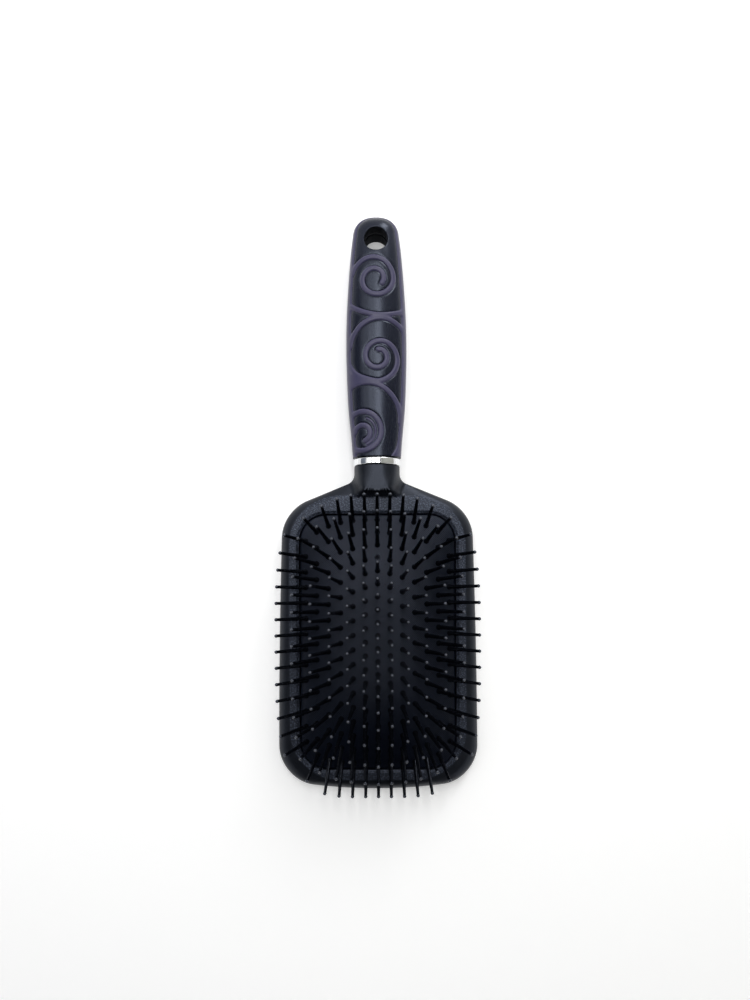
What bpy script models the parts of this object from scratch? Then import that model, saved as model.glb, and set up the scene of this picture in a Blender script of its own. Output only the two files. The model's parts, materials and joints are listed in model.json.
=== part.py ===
"""Paddle hair brush: a moulded head with a domed rubber cushion and ball-tip pins, a chrome band and a
two-material handle with a hanging hole.

Metres, +Z up. The brush lies on its back with the pins up, its length along Y with the handle at +Y, and
the origin under the middle of its bounding box.
"""

import math

import bmesh
import bpy
import numpy as np
from mathutils import Matrix

# Overall sizes along Y
OVERALL_LENGTH = 0.251
HANDLE_LENGTH = 0.105
BAND_LENGTH = 0.0036

# Running clearance between touching pieces, and how far a cutter runs past what it cuts
GAP = 0.0003
OVERRUN = 0.003

# Head: outline
HEAD_HALF_WIDTH = 0.0441
SHOULDER_HALF_WIDTH = 0.0422
SHOULDER_BELOW_BAND = 0.0186
NECK_ROOT_BELOW_BAND = 0.0060
NECK_HALF_WIDTH = 0.0100
NECK_FILLET_RADIUS = 0.0045
SHOULDER_RADIUS = 0.018
HEAD_CORNER_RADIUS = 0.0145
HEAD_SIDE_BOW = 0.0006
HEAD_END_BOW = 0.0012

# Head: heights and edge roundings
FRAME_TOP_HEIGHT = 0.0106
FRAME_LIP_HEIGHT = 0.0098
HEAD_WIDEST_HEIGHT = 0.0058
FRAME_ROUNDING = 0.0046
BACK_ROUNDING = 0.0052
NECK_ROUNDING = 0.0086
NECK_HALF_THICKNESS = 0.0074
NECK_SLOPE_START = 0.0010
NECK_SLOPE_END = 0.0125
NECK_HUMP_HALF_WIDTH = 0.0150

# Cushion opening in the frame
OPENING_HALF_WIDTH = 0.0345
OPENING_TOP_BELOW_BAND = 0.0205
OPENING_ABOVE_HEAD_END = 0.0093
OPENING_CORNER_RADIUS = 0.0122

# Pocket behind the opening
LIP_THICKNESS = 0.0014
GROOVE_DEPTH = 0.0014
GROOVE_HEIGHT = 0.0020
LEDGE_WIDTH = 0.0009
HEAD_WALL = 0.0022

# Cushion
CUSHION_EDGE_HEIGHT = 0.0093
CUSHION_CROWN = 0.0070
CROWN_POWER_ACROSS = 3.0
CROWN_POWER_ALONG = 3.3
CUSHION_RIM_WIDTH = 0.0007
MEMBRANE_THICKNESS = 0.0013
STRIP_THICKNESS = 0.0008
STRIP_CLEARANCE = 0.0005
VENT_RADIUS = 0.0009

# Pins
COLUMNS_EACH_SIDE = 6
PINS_IN_MIDDLE_COLUMN = 20
VENT_POSITION = 3
OUTER_COLUMN_MARGIN = 0.0030
OUTER_COLUMN_DRAW_SHARE = 0.022
TOP_ROW_MARGIN = 0.0027
END_ROW_MARGIN = 0.0032
COLUMN_DROP = 0.0093
TOP_DROP_POWER = 3.0
END_DROP_POWER = 5.0
PIN_LENGTH = 0.0178
PIN_ROOT_DEPTH = 0.00045
PIN_FOOT_RADIUS = 0.0012
PIN_FOOT_HEIGHT = 0.0011
PIN_SHAFT_RADIUS = 0.00075
PIN_NECK_RADIUS = 0.0005
PIN_BALL_RADIUS = 0.00078
PIN_CORNER_SHARE = 1.25
PIN_SPLAY_ACROSS_SHARE = 1.75
PIN_SPLAY_ALONG_SHARE = 1.80
PIN_SPLAY_AT_END_SHARE = 0.95
PIN_LEAN_LIMIT_SHARE = 0.86

# Band, spigot and tang
BAND_HALF_WIDTH = 0.0103
BAND_HALF_THICKNESS = 0.0077
BAND_WALL = 0.0013
BAND_EDGE_ROUNDING = 0.0004
TANG_HALF_WIDTH = 0.0066
TANG_HALF_THICKNESS = 0.0042
TANG_LENGTH = 0.024

# Handle
HANDLE_AXIS_HEIGHT = 0.0096
HANDLE_HALF_WIDTH = 0.0130
HANDLE_HALF_THICKNESS = 0.0090
HANDLE_SECTION_POWER = 2.2
HANDLE_END_ROUNDING = 0.0072
HANDLE_END_POWER = 2.5
HANGING_HOLE_RADIUS = 0.0051
HANGING_HOLE_FROM_END = 0.0112

# Half-width and half-thickness along the handle, from the band to the free end
HANDLE_STATION_SHARES = (0.0, 0.08, 0.20, 0.33, 0.45, 0.58, 0.70, 0.80, 0.88, 0.94, 1.0)
HANDLE_WIDTH_SHARES = (0.794, 0.842, 0.933, 0.982, 1.0, 0.984, 0.932, 0.872, 0.810, 0.748, 0.69)
HANDLE_THICKNESS_SHARES = (0.845, 0.88, 0.94, 0.985, 1.0, 0.985, 0.945, 0.895, 0.845, 0.79, 0.74)

# Grip overmould: side bands and scroll ribs
GRIP_THICKNESS = 0.0011
GRIP_STANDS_PROUD = 0.0003
SIDE_BAND_HEIGHT_SHARE = 0.545
RIB_WIDTH = 0.0020
SCROLL_END_INSET = 0.0009

# Upper and middle scrolls: centre, radii and sweep
UPPER_SCROLL_LENGTH_SHARE = 0.7243
UPPER_SCROLL_OFFSET = -0.00044
UPPER_SCROLL_OUTER_RADIUS = 0.01075
UPPER_SCROLL_INNER_RADIUS = 0.0035
UPPER_SCROLL_START_DEGREES = 160.0
UPPER_SCROLL_SWEEP_DEGREES = -552.0
UPPER_SCROLL_TIGHTENING_POWER = 1.07
MIDDLE_SCROLL_LENGTH_SHARE = 0.4038
MIDDLE_SCROLL_OFFSET = 0.0008
MIDDLE_SCROLL_OUTER_RADIUS = 0.0129
MIDDLE_SCROLL_INNER_RADIUS = 0.0031
MIDDLE_SCROLL_START_DEGREES = 196.0
MIDDLE_SCROLL_SWEEP_DEGREES = 615.0
MIDDLE_SCROLL_TIGHTENING_POWER = 0.90

# Lower scroll: an outer loop and an inner curl, both from the side band
LOWER_SCROLL_LENGTH_SHARE = 0.1038
LOWER_SCROLL_OFFSET = -0.0064
LOWER_SCROLL_RADIUS = 0.0083
LOWER_SCROLL_START_DEGREES = 127.0
LOWER_SCROLL_SWEEP_DEGREES = -240.0
LOWER_CURL_LENGTH_SHARE = 0.0952
LOWER_CURL_OFFSET = -0.0063
LOWER_CURL_RADIUS = 0.0033
LOWER_CURL_START_DEGREES = 165.0
LOWER_CURL_SWEEP_DEGREES = -235.0

# Arcs that cross the handle: side, middle and side again, as shares of the half-width and of the length
UPPER_ARC_SHARES = ((-0.93, 0.615), (0.0, 0.576), (0.94, 0.600))
CROSS_ARC_SHARES = ((-0.91, 0.465), (0.131, 0.563), (0.95, 0.520))
LOWER_ARC_SHARES = ((-0.94, 0.287), (0.28, 0.277), (0.91, 0.1635))
CORNER_ARC_SHARES = ((0.91, 0.0485), (0.86, 0.0227), (0.66, -0.008))

# Worked out from the sizes above
HANDLE_END_Y = OVERALL_LENGTH / 2
HEAD_END_Y = -OVERALL_LENGTH / 2
BAND_TOP_Y = HANDLE_END_Y - HANDLE_LENGTH
NECK_FACE_Y = BAND_TOP_Y - BAND_LENGTH
SHOULDER_Y = NECK_FACE_Y - SHOULDER_BELOW_BAND
NECK_ROOT_Y = NECK_FACE_Y - NECK_ROOT_BELOW_BAND
OPENING_TOP_Y = NECK_FACE_Y - OPENING_TOP_BELOW_BAND
OPENING_END_Y = HEAD_END_Y + OPENING_ABOVE_HEAD_END
PAD_MIDDLE_Y = (OPENING_TOP_Y + OPENING_END_Y) / 2
PAD_HALF_LENGTH = (OPENING_TOP_Y - OPENING_END_Y) / 2
HOLE_Y = HANDLE_END_Y - HANGING_HOLE_FROM_END

# How finely round things are cut into facets
LONGEST_LEG = 0.019
CLOSEST_RAYS = 0.004
HEAD_CORNER_STEPS = 4
OPENING_CORNER_STEPS = 4
CUSHION_CORNER_STEPS = 6
BACK_RING_SHARES = (0.0, 0.45)
FRAME_RING_SHARES = (0.8, 0.55, 0.3, 0.0)
UNDERSIDE_RING_SHARES = (0.08, 0.32, 0.56, 0.78)
BED_RING_SHARES = (0.92, 0.80, 0.62, 0.40, 0.08)
FINE_CORNER_STEPS = 24
OUTLINE_SAMPLES = 2000
BACK_ROUNDING_STEPS = 3
FRAME_ROUNDING_STEPS = 4
STRIP_STEPS = 8
STRIP_SPREAD_POWER = 0.61
PIN_SIDES = 3
HANDLE_SIDES = 24
HANDLE_SECTIONS = 12
HANDLE_END_SECTIONS = 6
HOLE_SIDES = 24
TANG_SIDES = 16
BAND_SIDES = 32
VENT_SIDES = 8
ARC_STEPS = 5
CORNER_ARC_STEPS = 2
SCROLL_STEP_DEGREES = 36.0

# Step over which the slope of a surface is measured, and how near its edge a face is still read
SLOPE_STEP = 0.00003
FACE_LIMIT_SHARE = 0.999


def clear_scene():
    for obj in list(bpy.data.objects):
        bpy.data.objects.remove(obj, do_unlink=True)


def collection_named(name):
    made = bpy.data.collections.new(name)
    bpy.context.scene.collection.children.link(made)
    return made


def principled(name, colour, roughness, metallic=0.0):
    """A plain Principled material; colour is linear RGB."""
    material = bpy.data.materials.new(name)
    material.use_nodes = True
    shader = material.node_tree.nodes["Principled BSDF"]
    shader.inputs["Base Color"].default_value = (*colour, 1.0)
    shader.inputs["Roughness"].default_value = roughness
    shader.inputs["Metallic"].default_value = metallic
    return material


def add_object(name, mesh, collection, material=None):
    obj = bpy.data.objects.new(name, mesh)
    collection.objects.link(obj)
    if material:
        mesh.materials.append(material)
    return obj


def add_cutter(name, mesh, collection):
    cutter = add_object(name, mesh, collection)
    cutter.hide_render = True
    cutter.display_type = "WIRE"
    return cutter


def boolean(obj, other, operation):
    modifier = obj.modifiers.new(operation.title() + " " + other.name, "BOOLEAN")
    modifier.operation = operation
    modifier.object = other
    modifier.solver = "EXACT"


def mesh_from(name, points, faces):
    """A closed mesh of the given faces, all turned outward and cut into triangles, which are always flat."""
    mesh = bpy.data.meshes.new(name)
    mesh.from_pydata([tuple(map(float, point)) for point in points], [], faces)
    shape = bmesh.new()
    shape.from_mesh(mesh)
    if shape.calc_volume(signed=True) < 0.0:
        bmesh.ops.reverse_faces(shape, faces=shape.faces)
    bmesh.ops.triangulate(shape, faces=shape.faces)
    shape.to_mesh(mesh)
    shape.free()
    mesh.update()
    return mesh


def ring_loft(name, rings):
    """A closed mesh through rings of equally many points, with a flat cap on the first and the last."""
    count = len(rings[0])
    points = np.concatenate(rings)
    faces = [tuple(reversed(range(count)))]
    for level in range(len(rings) - 1):
        low = level * count
        for index in range(count):
            after = (index + 1) % count
            faces.append((low + index, low + after, low + count + after, low + count + index))
    top = (len(rings) - 1) * count
    faces.append(tuple(range(top, top + count)))
    return mesh_from(name, points, faces)


def smooth(mesh, degrees=35.0):
    mesh.shade_smooth()
    mesh.set_sharp_from_angle(angle=math.radians(degrees))


def smooth_step(value):
    """0 below 0, 1 above 1, and an S curve between."""
    t = np.clip(value, 0.0, 1.0)
    return t * t * (3.0 - 2.0 * t)


def curve_through(shares, values, at):
    """A smooth curve through the values at the shares: a cubic between each two, with Catmull-Rom slopes."""
    shares = np.asarray(shares)
    values = np.asarray(values)
    slopes = np.gradient(values, shares)
    index = np.clip(np.searchsorted(shares, at, side="right") - 1, 0, len(shares) - 2)
    span = shares[index + 1] - shares[index]
    t = (at - shares[index]) / span
    rise_0 = slopes[index] * span
    rise_1 = slopes[index + 1] * span
    fall = 1.0 - t
    return (
        values[index] * (1.0 + 2.0 * t) * fall * fall
        + rise_0 * t * fall * fall
        + values[index + 1] * t * t * (3.0 - 2.0 * t)
        - rise_1 * t * t * fall
    )


def rounded_corner(before, corner, after, radius, steps):
    """Points along the arc of the given radius that rounds a corner, from the first leg to the second."""
    corner = np.asarray(corner)
    leg_in = (corner - before) / np.linalg.norm(corner - before)
    leg_out = (after - corner) / np.linalg.norm(after - corner)
    turn = math.acos(float(np.clip(leg_in @ leg_out, -1.0, 1.0)))
    reach = radius * math.tan(turn / 2)
    side = math.copysign(1.0, leg_in[0] * leg_out[1] - leg_in[1] * leg_out[0])
    centre = corner - leg_in * reach + side * radius * np.array((-leg_in[1], leg_in[0]))
    start = corner - leg_in * reach - centre
    angles = side * turn * np.linspace(0.0, 1.0, steps + 1)
    cosines, sines = np.cos(angles), np.sin(angles)
    return centre + np.stack((start[0] * cosines - start[1] * sines, start[0] * sines + start[1] * cosines), 1)


def rounded_path(corners, radii, steps):
    """The corners joined by straight legs, with each inner corner rounded to its radius."""
    corners = [np.asarray(corner, float) for corner in corners]
    pieces = [corners[0][None]]
    for index, radius in enumerate(radii, start=1):
        pieces.append(rounded_corner(corners[index - 1], corners[index], corners[index + 1], radius, steps))
    pieces.append(corners[-1][None])
    return with_short_legs(np.concatenate(pieces))


def with_short_legs(path):
    """The path with each long leg cut into equal shorter ones."""
    pieces = [path[:1]]
    for start, end in zip(path, path[1:]):
        parts = max(1, math.ceil(np.linalg.norm(end - start) / LONGEST_LEG))
        shares = np.arange(1, parts + 1) / parts
        pieces.append(start + (end - start) * shares[:, None])
    return np.concatenate(pieces)


def head_half_outline(steps):
    """The right half of the head's outline, from the neck's hidden round end down to the end of the head."""
    outline = rounded_path(
        (
            (0.0, NECK_FACE_Y + NECK_HALF_WIDTH),
            (NECK_HALF_WIDTH, NECK_FACE_Y + NECK_HALF_WIDTH),
            (NECK_HALF_WIDTH, NECK_ROOT_Y),
            (SHOULDER_HALF_WIDTH, SHOULDER_Y),
            (HEAD_HALF_WIDTH, HEAD_END_Y + HEAD_END_BOW),
            (0.0, HEAD_END_Y + HEAD_END_BOW),
        ),
        (NECK_HALF_WIDTH, NECK_FILLET_RADIUS, SHOULDER_RADIUS, HEAD_CORNER_RADIUS),
        steps,
    )
    across, along = outline.T
    half_side = (SHOULDER_Y - HEAD_END_Y) / 2
    side = np.clip((along - HEAD_END_Y) * (SHOULDER_Y - along), 0.0, None) / half_side**2
    end = np.where(along < HEAD_END_Y + HEAD_CORNER_RADIUS, 1.0 - (across / HEAD_HALF_WIDTH) ** 2, 0.0)
    return outline + np.stack((HEAD_SIDE_BOW * side, -HEAD_END_BOW * end), 1)


def opening_half_outline(outset=0.0, steps=FINE_CORNER_STEPS):
    """The right half of the cushion opening's outline, grown by an outset."""
    top = OPENING_TOP_Y + outset
    end = OPENING_END_Y - outset
    half = OPENING_HALF_WIDTH + outset
    radius = OPENING_CORNER_RADIUS + outset
    return rounded_path(((0.0, top), (half, top), (half, end), (0.0, end)), (radius, radius), steps)


def ray_angles(*outlines):
    """The angles round the middle of the pad of all the outlines' points, from straight up to straight down."""
    points = np.concatenate(outlines)
    angles = np.arctan2(points[:, 1] - PAD_MIDDLE_Y, points[:, 0])
    angles = np.sort(angles)[::-1]
    apart = np.abs(np.diff(angles)) > CLOSEST_RAYS
    return np.concatenate((angles[:1], angles[1:][apart]))


def evenly_spaced(path, count):
    """The path read off at even steps along its length."""
    travel = np.concatenate(((0.0,), np.cumsum(np.linalg.norm(np.diff(path, axis=0), axis=1))))
    places = np.linspace(0.0, travel[-1], count)
    return np.stack((np.interp(places, travel, path[:, 0]), np.interp(places, travel, path[:, 1])), 1)


def on_rays(half_outline, angles):
    """The half outline where rays from the middle of the pad cross it, with its unit normals pointing in."""
    path = evenly_spaced(half_outline, OUTLINE_SAMPLES)
    found = -np.arctan2(path[:, 1] - PAD_MIDDLE_Y, path[:, 0])
    heading = np.gradient(path, axis=0)
    points = np.stack([np.interp(-angles, found, column) for column in path.T], 1)
    normals = np.stack((np.interp(-angles, found, heading[:, 1]), -np.interp(-angles, found, heading[:, 0])), 1)
    return points, normals / np.linalg.norm(normals, axis=1)[:, None]


def angles_round_pad(points):
    return np.arctan2(points[:, 1] - PAD_MIDDLE_Y, points[:, 0])


def mirrored(half_ring):
    """A closed ring from its right half, whose first and last points lie on the middle line."""
    half_ring = half_ring.copy()
    half_ring[0, 0] = half_ring[-1, 0] = 0.0
    return np.concatenate((half_ring, half_ring[-2:0:-1] * (-1.0, 1.0, 1.0)))


def at_height(points, height):
    heights = np.broadcast_to(height, (len(points),))
    return np.column_stack((points[:, :2], heights))


def neck_share(points):
    """1 on the neck, 0 on the flat of the head, and a smooth slope between."""
    low = NECK_FACE_Y - NECK_SLOPE_END - NECK_SLOPE_START
    along = smooth_step((points[:, 1] - low) / NECK_SLOPE_END)
    across = 1.0 - smooth_step(2.0 * np.abs(points[:, 0]) / NECK_HUMP_HALF_WIDTH - 1.0)
    return along * across


def between(share, on_head, on_neck):
    return on_head + (on_neck - on_head) * share


def opening_at(angles, outset=0.0):
    return on_rays(opening_half_outline(outset), angles)[0]


def slope_ring(edge, share, on_neck, at_edge, at_opening):
    """A half ring part of the way from the opening to a rounded edge, on the frame's slope or the neck's."""
    opening = opening_at(angles_round_pad(edge))
    points = opening + (edge[:, :2] - opening) * share
    return at_height(points, between(neck_share(points), at_opening + (at_edge - at_opening) * share, on_neck))


def head_rings():
    """Rings from the flat back round the outer edge and over the frame to the lip, then down the pocket."""
    corners = head_half_outline(HEAD_CORNER_STEPS), opening_half_outline(0.0, OPENING_CORNER_STEPS)
    outline, normals = on_rays(head_half_outline(FINE_CORNER_STEPS), ray_angles(*corners))
    along_neck = smooth_step((outline[:, 1] - SHOULDER_Y) / (NECK_FACE_Y - SHOULDER_Y))
    widest = between(along_neck, HEAD_WIDEST_HEIGHT, HANDLE_AXIS_HEIGHT)
    neck_top = HANDLE_AXIS_HEIGHT + NECK_HALF_THICKNESS
    neck_bottom = HANDLE_AXIS_HEIGHT - NECK_HALF_THICKNESS

    def edge_ring(turn, rounding, flat, on_neck):
        reach = between(along_neck, rounding, NECK_ROUNDING) * (1.0 - math.cos(turn))
        points = outline + normals * reach[:, None]
        limit = between(neck_share(points), flat, on_neck)
        return at_height(points, widest + (limit - widest) * math.sin(turn))

    back_turns = np.linspace(math.pi / 2, 0.0, BACK_ROUNDING_STEPS + 1)[:-1]
    frame_turns = np.linspace(0.0, math.pi / 2, FRAME_ROUNDING_STEPS + 1)
    back_edges = [edge_ring(turn, BACK_ROUNDING, 0.0, neck_bottom) for turn in back_turns]
    frame_edges = [edge_ring(turn, FRAME_ROUNDING, FRAME_TOP_HEIGHT, neck_top) for turn in frame_turns]
    back = [slope_ring(back_edges[0], share, neck_bottom, 0.0, 0.0) for share in BACK_RING_SHARES]
    frame = [
        slope_ring(frame_edges[-1], share, neck_top, FRAME_TOP_HEIGHT, FRAME_LIP_HEIGHT)
        for share in FRAME_RING_SHARES
    ]
    angles = angles_round_pad(frame_edges[-1])
    groove_top = FRAME_LIP_HEIGHT - LIP_THICKNESS
    groove_floor = groove_top - GROOVE_HEIGHT
    pocket = [
        at_height(opening_at(angles), groove_top),
        at_height(opening_at(angles, GROOVE_DEPTH), groove_top),
        at_height(opening_at(angles, GROOVE_DEPTH), groove_floor),
        at_height(opening_at(angles, -LEDGE_WIDTH), groove_floor),
        at_height(opening_at(angles, -LEDGE_WIDTH), HEAD_WALL),
    ]
    return [mirrored(ring) for ring in back + back_edges + frame_edges + frame + pocket]


def elliptic_prism(name, half_width, half_thickness, start, end, sides=BAND_SIDES):
    """A prism of oval section along Y, centred on the handle's axis."""
    shape = bmesh.new()
    bmesh.ops.create_cone(
        shape, cap_ends=True, segments=sides, radius1=half_width, radius2=half_width, depth=end - start
    )
    flatten = Matrix.Diagonal((1.0, half_thickness / half_width, 1.0, 1.0))
    stand = Matrix.Rotation(-math.pi / 2, 4, "X")
    place = Matrix.Translation((0.0, (start + end) / 2, HANDLE_AXIS_HEIGHT))
    bmesh.ops.transform(shape, matrix=place @ stand @ flatten, verts=shape.verts)
    mesh = bpy.data.meshes.new(name)
    shape.to_mesh(mesh)
    shape.free()
    return mesh


def box_mesh(name, low, high):
    shape = bmesh.new()
    bmesh.ops.create_cube(shape, size=1.0)
    low, high = np.asarray(low), np.asarray(high)
    scale = Matrix.Diagonal((*(high - low), 1.0))
    bmesh.ops.transform(shape, matrix=Matrix.Translation((low + high) / 2) @ scale, verts=shape.verts)
    mesh = bpy.data.meshes.new(name)
    shape.to_mesh(mesh)
    shape.free()
    return mesh


def paddle_head(parts, cutters, material):
    """The head with its neck, cut square under the band, with the spigot and the tang on it."""
    mesh = ring_loft("paddle_head", head_rings())
    head = add_object("paddle_head", mesh, parts, material)
    reach = NECK_HALF_WIDTH + OVERRUN
    end_cutter = box_mesh(
        "neck_end_cutter",
        (-reach, NECK_FACE_Y, -OVERRUN),
        (reach, NECK_FACE_Y + reach, HANDLE_AXIS_HEIGHT + reach),
    )
    boolean(head, add_cutter("neck_end_cutter", end_cutter, cutters), "DIFFERENCE")
    spigot = elliptic_prism(
        "spigot",
        BAND_HALF_WIDTH - BAND_WALL - GAP,
        BAND_HALF_THICKNESS - BAND_WALL - GAP,
        NECK_FACE_Y - OVERRUN,
        BAND_TOP_Y - GAP,
    )
    boolean(head, add_cutter("spigot", spigot, cutters), "UNION")
    tang = elliptic_prism(
        "tang", TANG_HALF_WIDTH, TANG_HALF_THICKNESS, NECK_FACE_Y, BAND_TOP_Y + TANG_LENGTH, TANG_SIDES
    )
    boolean(head, add_cutter("tang", tang, cutters), "UNION")
    smooth(mesh)
    return head


def chrome_band(parts, cutters, material):
    """The oval ring between neck and handle."""
    start = NECK_FACE_Y + GAP
    end = BAND_TOP_Y - GAP
    mesh = elliptic_prism("chrome_band", BAND_HALF_WIDTH, BAND_HALF_THICKNESS, start, end)
    band = add_object("chrome_band", mesh, parts, material)
    bevel = band.modifiers.new("Rounded edges", "BEVEL")
    bevel.width = BAND_EDGE_ROUNDING
    bevel.segments = 2
    bevel.limit_method = "ANGLE"
    bore = elliptic_prism(
        "band_bore",
        BAND_HALF_WIDTH - BAND_WALL,
        BAND_HALF_THICKNESS - BAND_WALL,
        start - OVERRUN,
        end + OVERRUN,
    )
    boolean(band, add_cutter("band_bore", bore, cutters), "DIFFERENCE")
    smooth(mesh)
    return band


def full_half_sizes(along):
    """Half-width and half-thickness of the handle at a distance from the band, without its rounded end."""
    share = np.clip(along / HANDLE_LENGTH, 0.0, 1.0)
    width = HANDLE_HALF_WIDTH * curve_through(HANDLE_STATION_SHARES, HANDLE_WIDTH_SHARES, share)
    thickness = HANDLE_HALF_THICKNESS * curve_through(HANDLE_STATION_SHARES, HANDLE_THICKNESS_SHARES, share)
    return width, thickness


def handle_half_sizes(along):
    """Half-width and half-thickness of the handle at a distance from the band, with its rounded end."""
    width, thickness = full_half_sizes(along)
    past = np.clip((along - HANDLE_LENGTH + HANDLE_END_ROUNDING) / HANDLE_END_ROUNDING, 0.0, 1.0)
    dome = (1.0 - past**HANDLE_END_POWER) ** (1.0 / HANDLE_END_POWER)
    return width * dome, thickness * dome


def straight_stations():
    """The sections' distances from the band, up to where the free end starts to round off."""
    return np.linspace(0.0, HANDLE_LENGTH - HANDLE_END_ROUNDING, HANDLE_SECTIONS + 1)[:-1]


def handle_mesh(name, outset=0.0, start=0.0):
    """The handle's body grown by an outset: oval sections along Y, closer together at the round end."""
    sections = straight_stations()
    turns = np.linspace(0.0, math.pi / 2, HANDLE_END_SECTIONS + 1)[:-1]
    dome = HANDLE_LENGTH - HANDLE_END_ROUNDING * (1.0 - np.sin(turns))
    stations = np.concatenate((sections, dome))
    stations[0] = start
    width, thickness = handle_half_sizes(stations)
    turns = np.linspace(0.0, 2.0 * math.pi, HANDLE_SIDES + 1)[:-1]
    power = 2.0 / HANDLE_SECTION_POWER
    across = np.sign(np.cos(turns)) * np.abs(np.cos(turns)) ** power
    up = np.sign(np.sin(turns)) * np.abs(np.sin(turns)) ** power
    rings = []
    for station, half_width, half_thickness in zip(stations, width, thickness):
        ring = np.stack(
            (
                (half_width + outset) * across,
                np.full_like(across, BAND_TOP_Y + station + outset * (station > sections[-1])),
                HANDLE_AXIS_HEIGHT + (half_thickness + outset) * up,
            ),
            1,
        )
        rings.append(ring)
    return ring_loft(name, rings)


def on_handle(points, side):
    """Points of the handle's face over the given X and Y, with the face's unit normals."""
    across, along = points[:, 0], points[:, 1]

    def height(x, y):
        width, thickness = handle_half_sizes(y - BAND_TOP_Y)
        share = np.clip(np.abs(x) / width, 0.0, FACE_LIMIT_SHARE)
        return thickness * (1.0 - share**HANDLE_SECTION_POWER) ** (1.0 / HANDLE_SECTION_POWER)

    step = SLOPE_STEP
    slope_x = (height(across + step, along) - height(across - step, along)) / (2.0 * step)
    slope_y = (height(across, along + step) - height(across, along - step)) / (2.0 * step)
    normals = np.stack((-slope_x, -slope_y, np.ones_like(slope_x)), 1)
    normals /= np.linalg.norm(normals, axis=1)[:, None]
    places = np.stack((across, along, height(across, along)), 1)
    mirror = np.array((1.0, 1.0, side))
    return places * mirror + (0.0, 0.0, HANDLE_AXIS_HEIGHT), normals * mirror


def ribbon(name, path, side, half_width, proud, depth):
    """A rib of square section that follows a path over the handle's face."""
    places, normals = on_handle(path, side)
    along = np.gradient(places, axis=0)
    along /= np.linalg.norm(along, axis=1)[:, None]
    sideways = np.cross(normals, along) * half_width
    top = places + normals * proud
    bottom = places - normals * depth
    rings = [
        np.array((high - lean, high + lean, low + lean, low - lean))
        for high, low, lean in zip(top, bottom, sideways)
    ]
    return ring_loft(name, rings)


def scroll(centre, outer, inner, start_degrees, sweep_degrees, power):
    """A spiral whose radius shrinks from outer to inner by a power of the share of its sweep."""
    count = round(abs(sweep_degrees) / SCROLL_STEP_DEGREES)
    share = np.linspace(0.0, 1.0, count + 1)
    radius = outer * (inner / outer) ** (share**power)
    angle = np.radians(start_degrees + sweep_degrees * share)
    return np.stack((centre[0] + radius * np.cos(angle), centre[1] + radius * np.sin(angle)), 1)


def arc_round(centre, radius, start_degrees, sweep_degrees):
    """A spiral that keeps its radius."""
    return scroll(centre, radius, radius, start_degrees, sweep_degrees, 1.0)


def arc_through(shares, steps=ARC_STEPS):
    """The circular arc through three points given as shares of the handle's half-width and length."""
    ends = []
    for across_share, along_share in shares:
        along = along_share * HANDLE_LENGTH
        width, _ = handle_half_sizes(np.array((along,)))
        ends.append((across_share * float(width[0]), BAND_TOP_Y + along))
    (ax, ay), (bx, by), (cx, cy) = ends
    cross = 2.0 * (ax * (by - cy) + bx * (cy - ay) + cx * (ay - by))
    a2, b2, c2 = ax * ax + ay * ay, bx * bx + by * by, cx * cx + cy * cy
    centre = np.array(
        (
            (a2 * (by - cy) + b2 * (cy - ay) + c2 * (ay - by)) / cross,
            (a2 * (cx - bx) + b2 * (ax - cx) + c2 * (bx - ax)) / cross,
        )
    )
    first, middle, last = (math.atan2(y - centre[1], x - centre[0]) for x, y in ends)
    middle = first + (middle - first + math.pi) % (2.0 * math.pi) - math.pi
    last = middle + (last - middle + math.pi) % (2.0 * math.pi) - math.pi
    angles = np.linspace(first, last, steps + 1)
    radius = math.hypot(ax - centre[0], ay - centre[1])
    return centre + radius * np.stack((np.cos(angles), np.sin(angles)), 1)


def kept_on_face(path):
    """The stretch of a path that stays on the face, ending in the side band."""
    width, _ = handle_half_sizes(path[:, 1] - BAND_TOP_Y)
    limit = width - SCROLL_END_INSET
    path = path.copy()
    path[:, 0] = np.clip(path[:, 0], -limit, limit)
    return path


def scroll_paths():
    """Every rib's middle line on the face, in X and Y."""
    paths = [
        scroll(
            (UPPER_SCROLL_OFFSET, BAND_TOP_Y + UPPER_SCROLL_LENGTH_SHARE * HANDLE_LENGTH),
            UPPER_SCROLL_OUTER_RADIUS,
            UPPER_SCROLL_INNER_RADIUS,
            UPPER_SCROLL_START_DEGREES,
            UPPER_SCROLL_SWEEP_DEGREES,
            UPPER_SCROLL_TIGHTENING_POWER,
        ),
        scroll(
            (MIDDLE_SCROLL_OFFSET, BAND_TOP_Y + MIDDLE_SCROLL_LENGTH_SHARE * HANDLE_LENGTH),
            MIDDLE_SCROLL_OUTER_RADIUS,
            MIDDLE_SCROLL_INNER_RADIUS,
            MIDDLE_SCROLL_START_DEGREES,
            MIDDLE_SCROLL_SWEEP_DEGREES,
            MIDDLE_SCROLL_TIGHTENING_POWER,
        ),
        arc_round(
            (LOWER_SCROLL_OFFSET, BAND_TOP_Y + LOWER_SCROLL_LENGTH_SHARE * HANDLE_LENGTH),
            LOWER_SCROLL_RADIUS,
            LOWER_SCROLL_START_DEGREES,
            LOWER_SCROLL_SWEEP_DEGREES,
        ),
        arc_round(
            (LOWER_CURL_OFFSET, BAND_TOP_Y + LOWER_CURL_LENGTH_SHARE * HANDLE_LENGTH),
            LOWER_CURL_RADIUS,
            LOWER_CURL_START_DEGREES,
            LOWER_CURL_SWEEP_DEGREES,
        ),
        arc_through(UPPER_ARC_SHARES),
        arc_through(CROSS_ARC_SHARES),
        arc_through(LOWER_ARC_SHARES),
        arc_through(CORNER_ARC_SHARES, CORNER_ARC_STEPS),
    ]
    return [kept_on_face(path) for path in paths]


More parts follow.
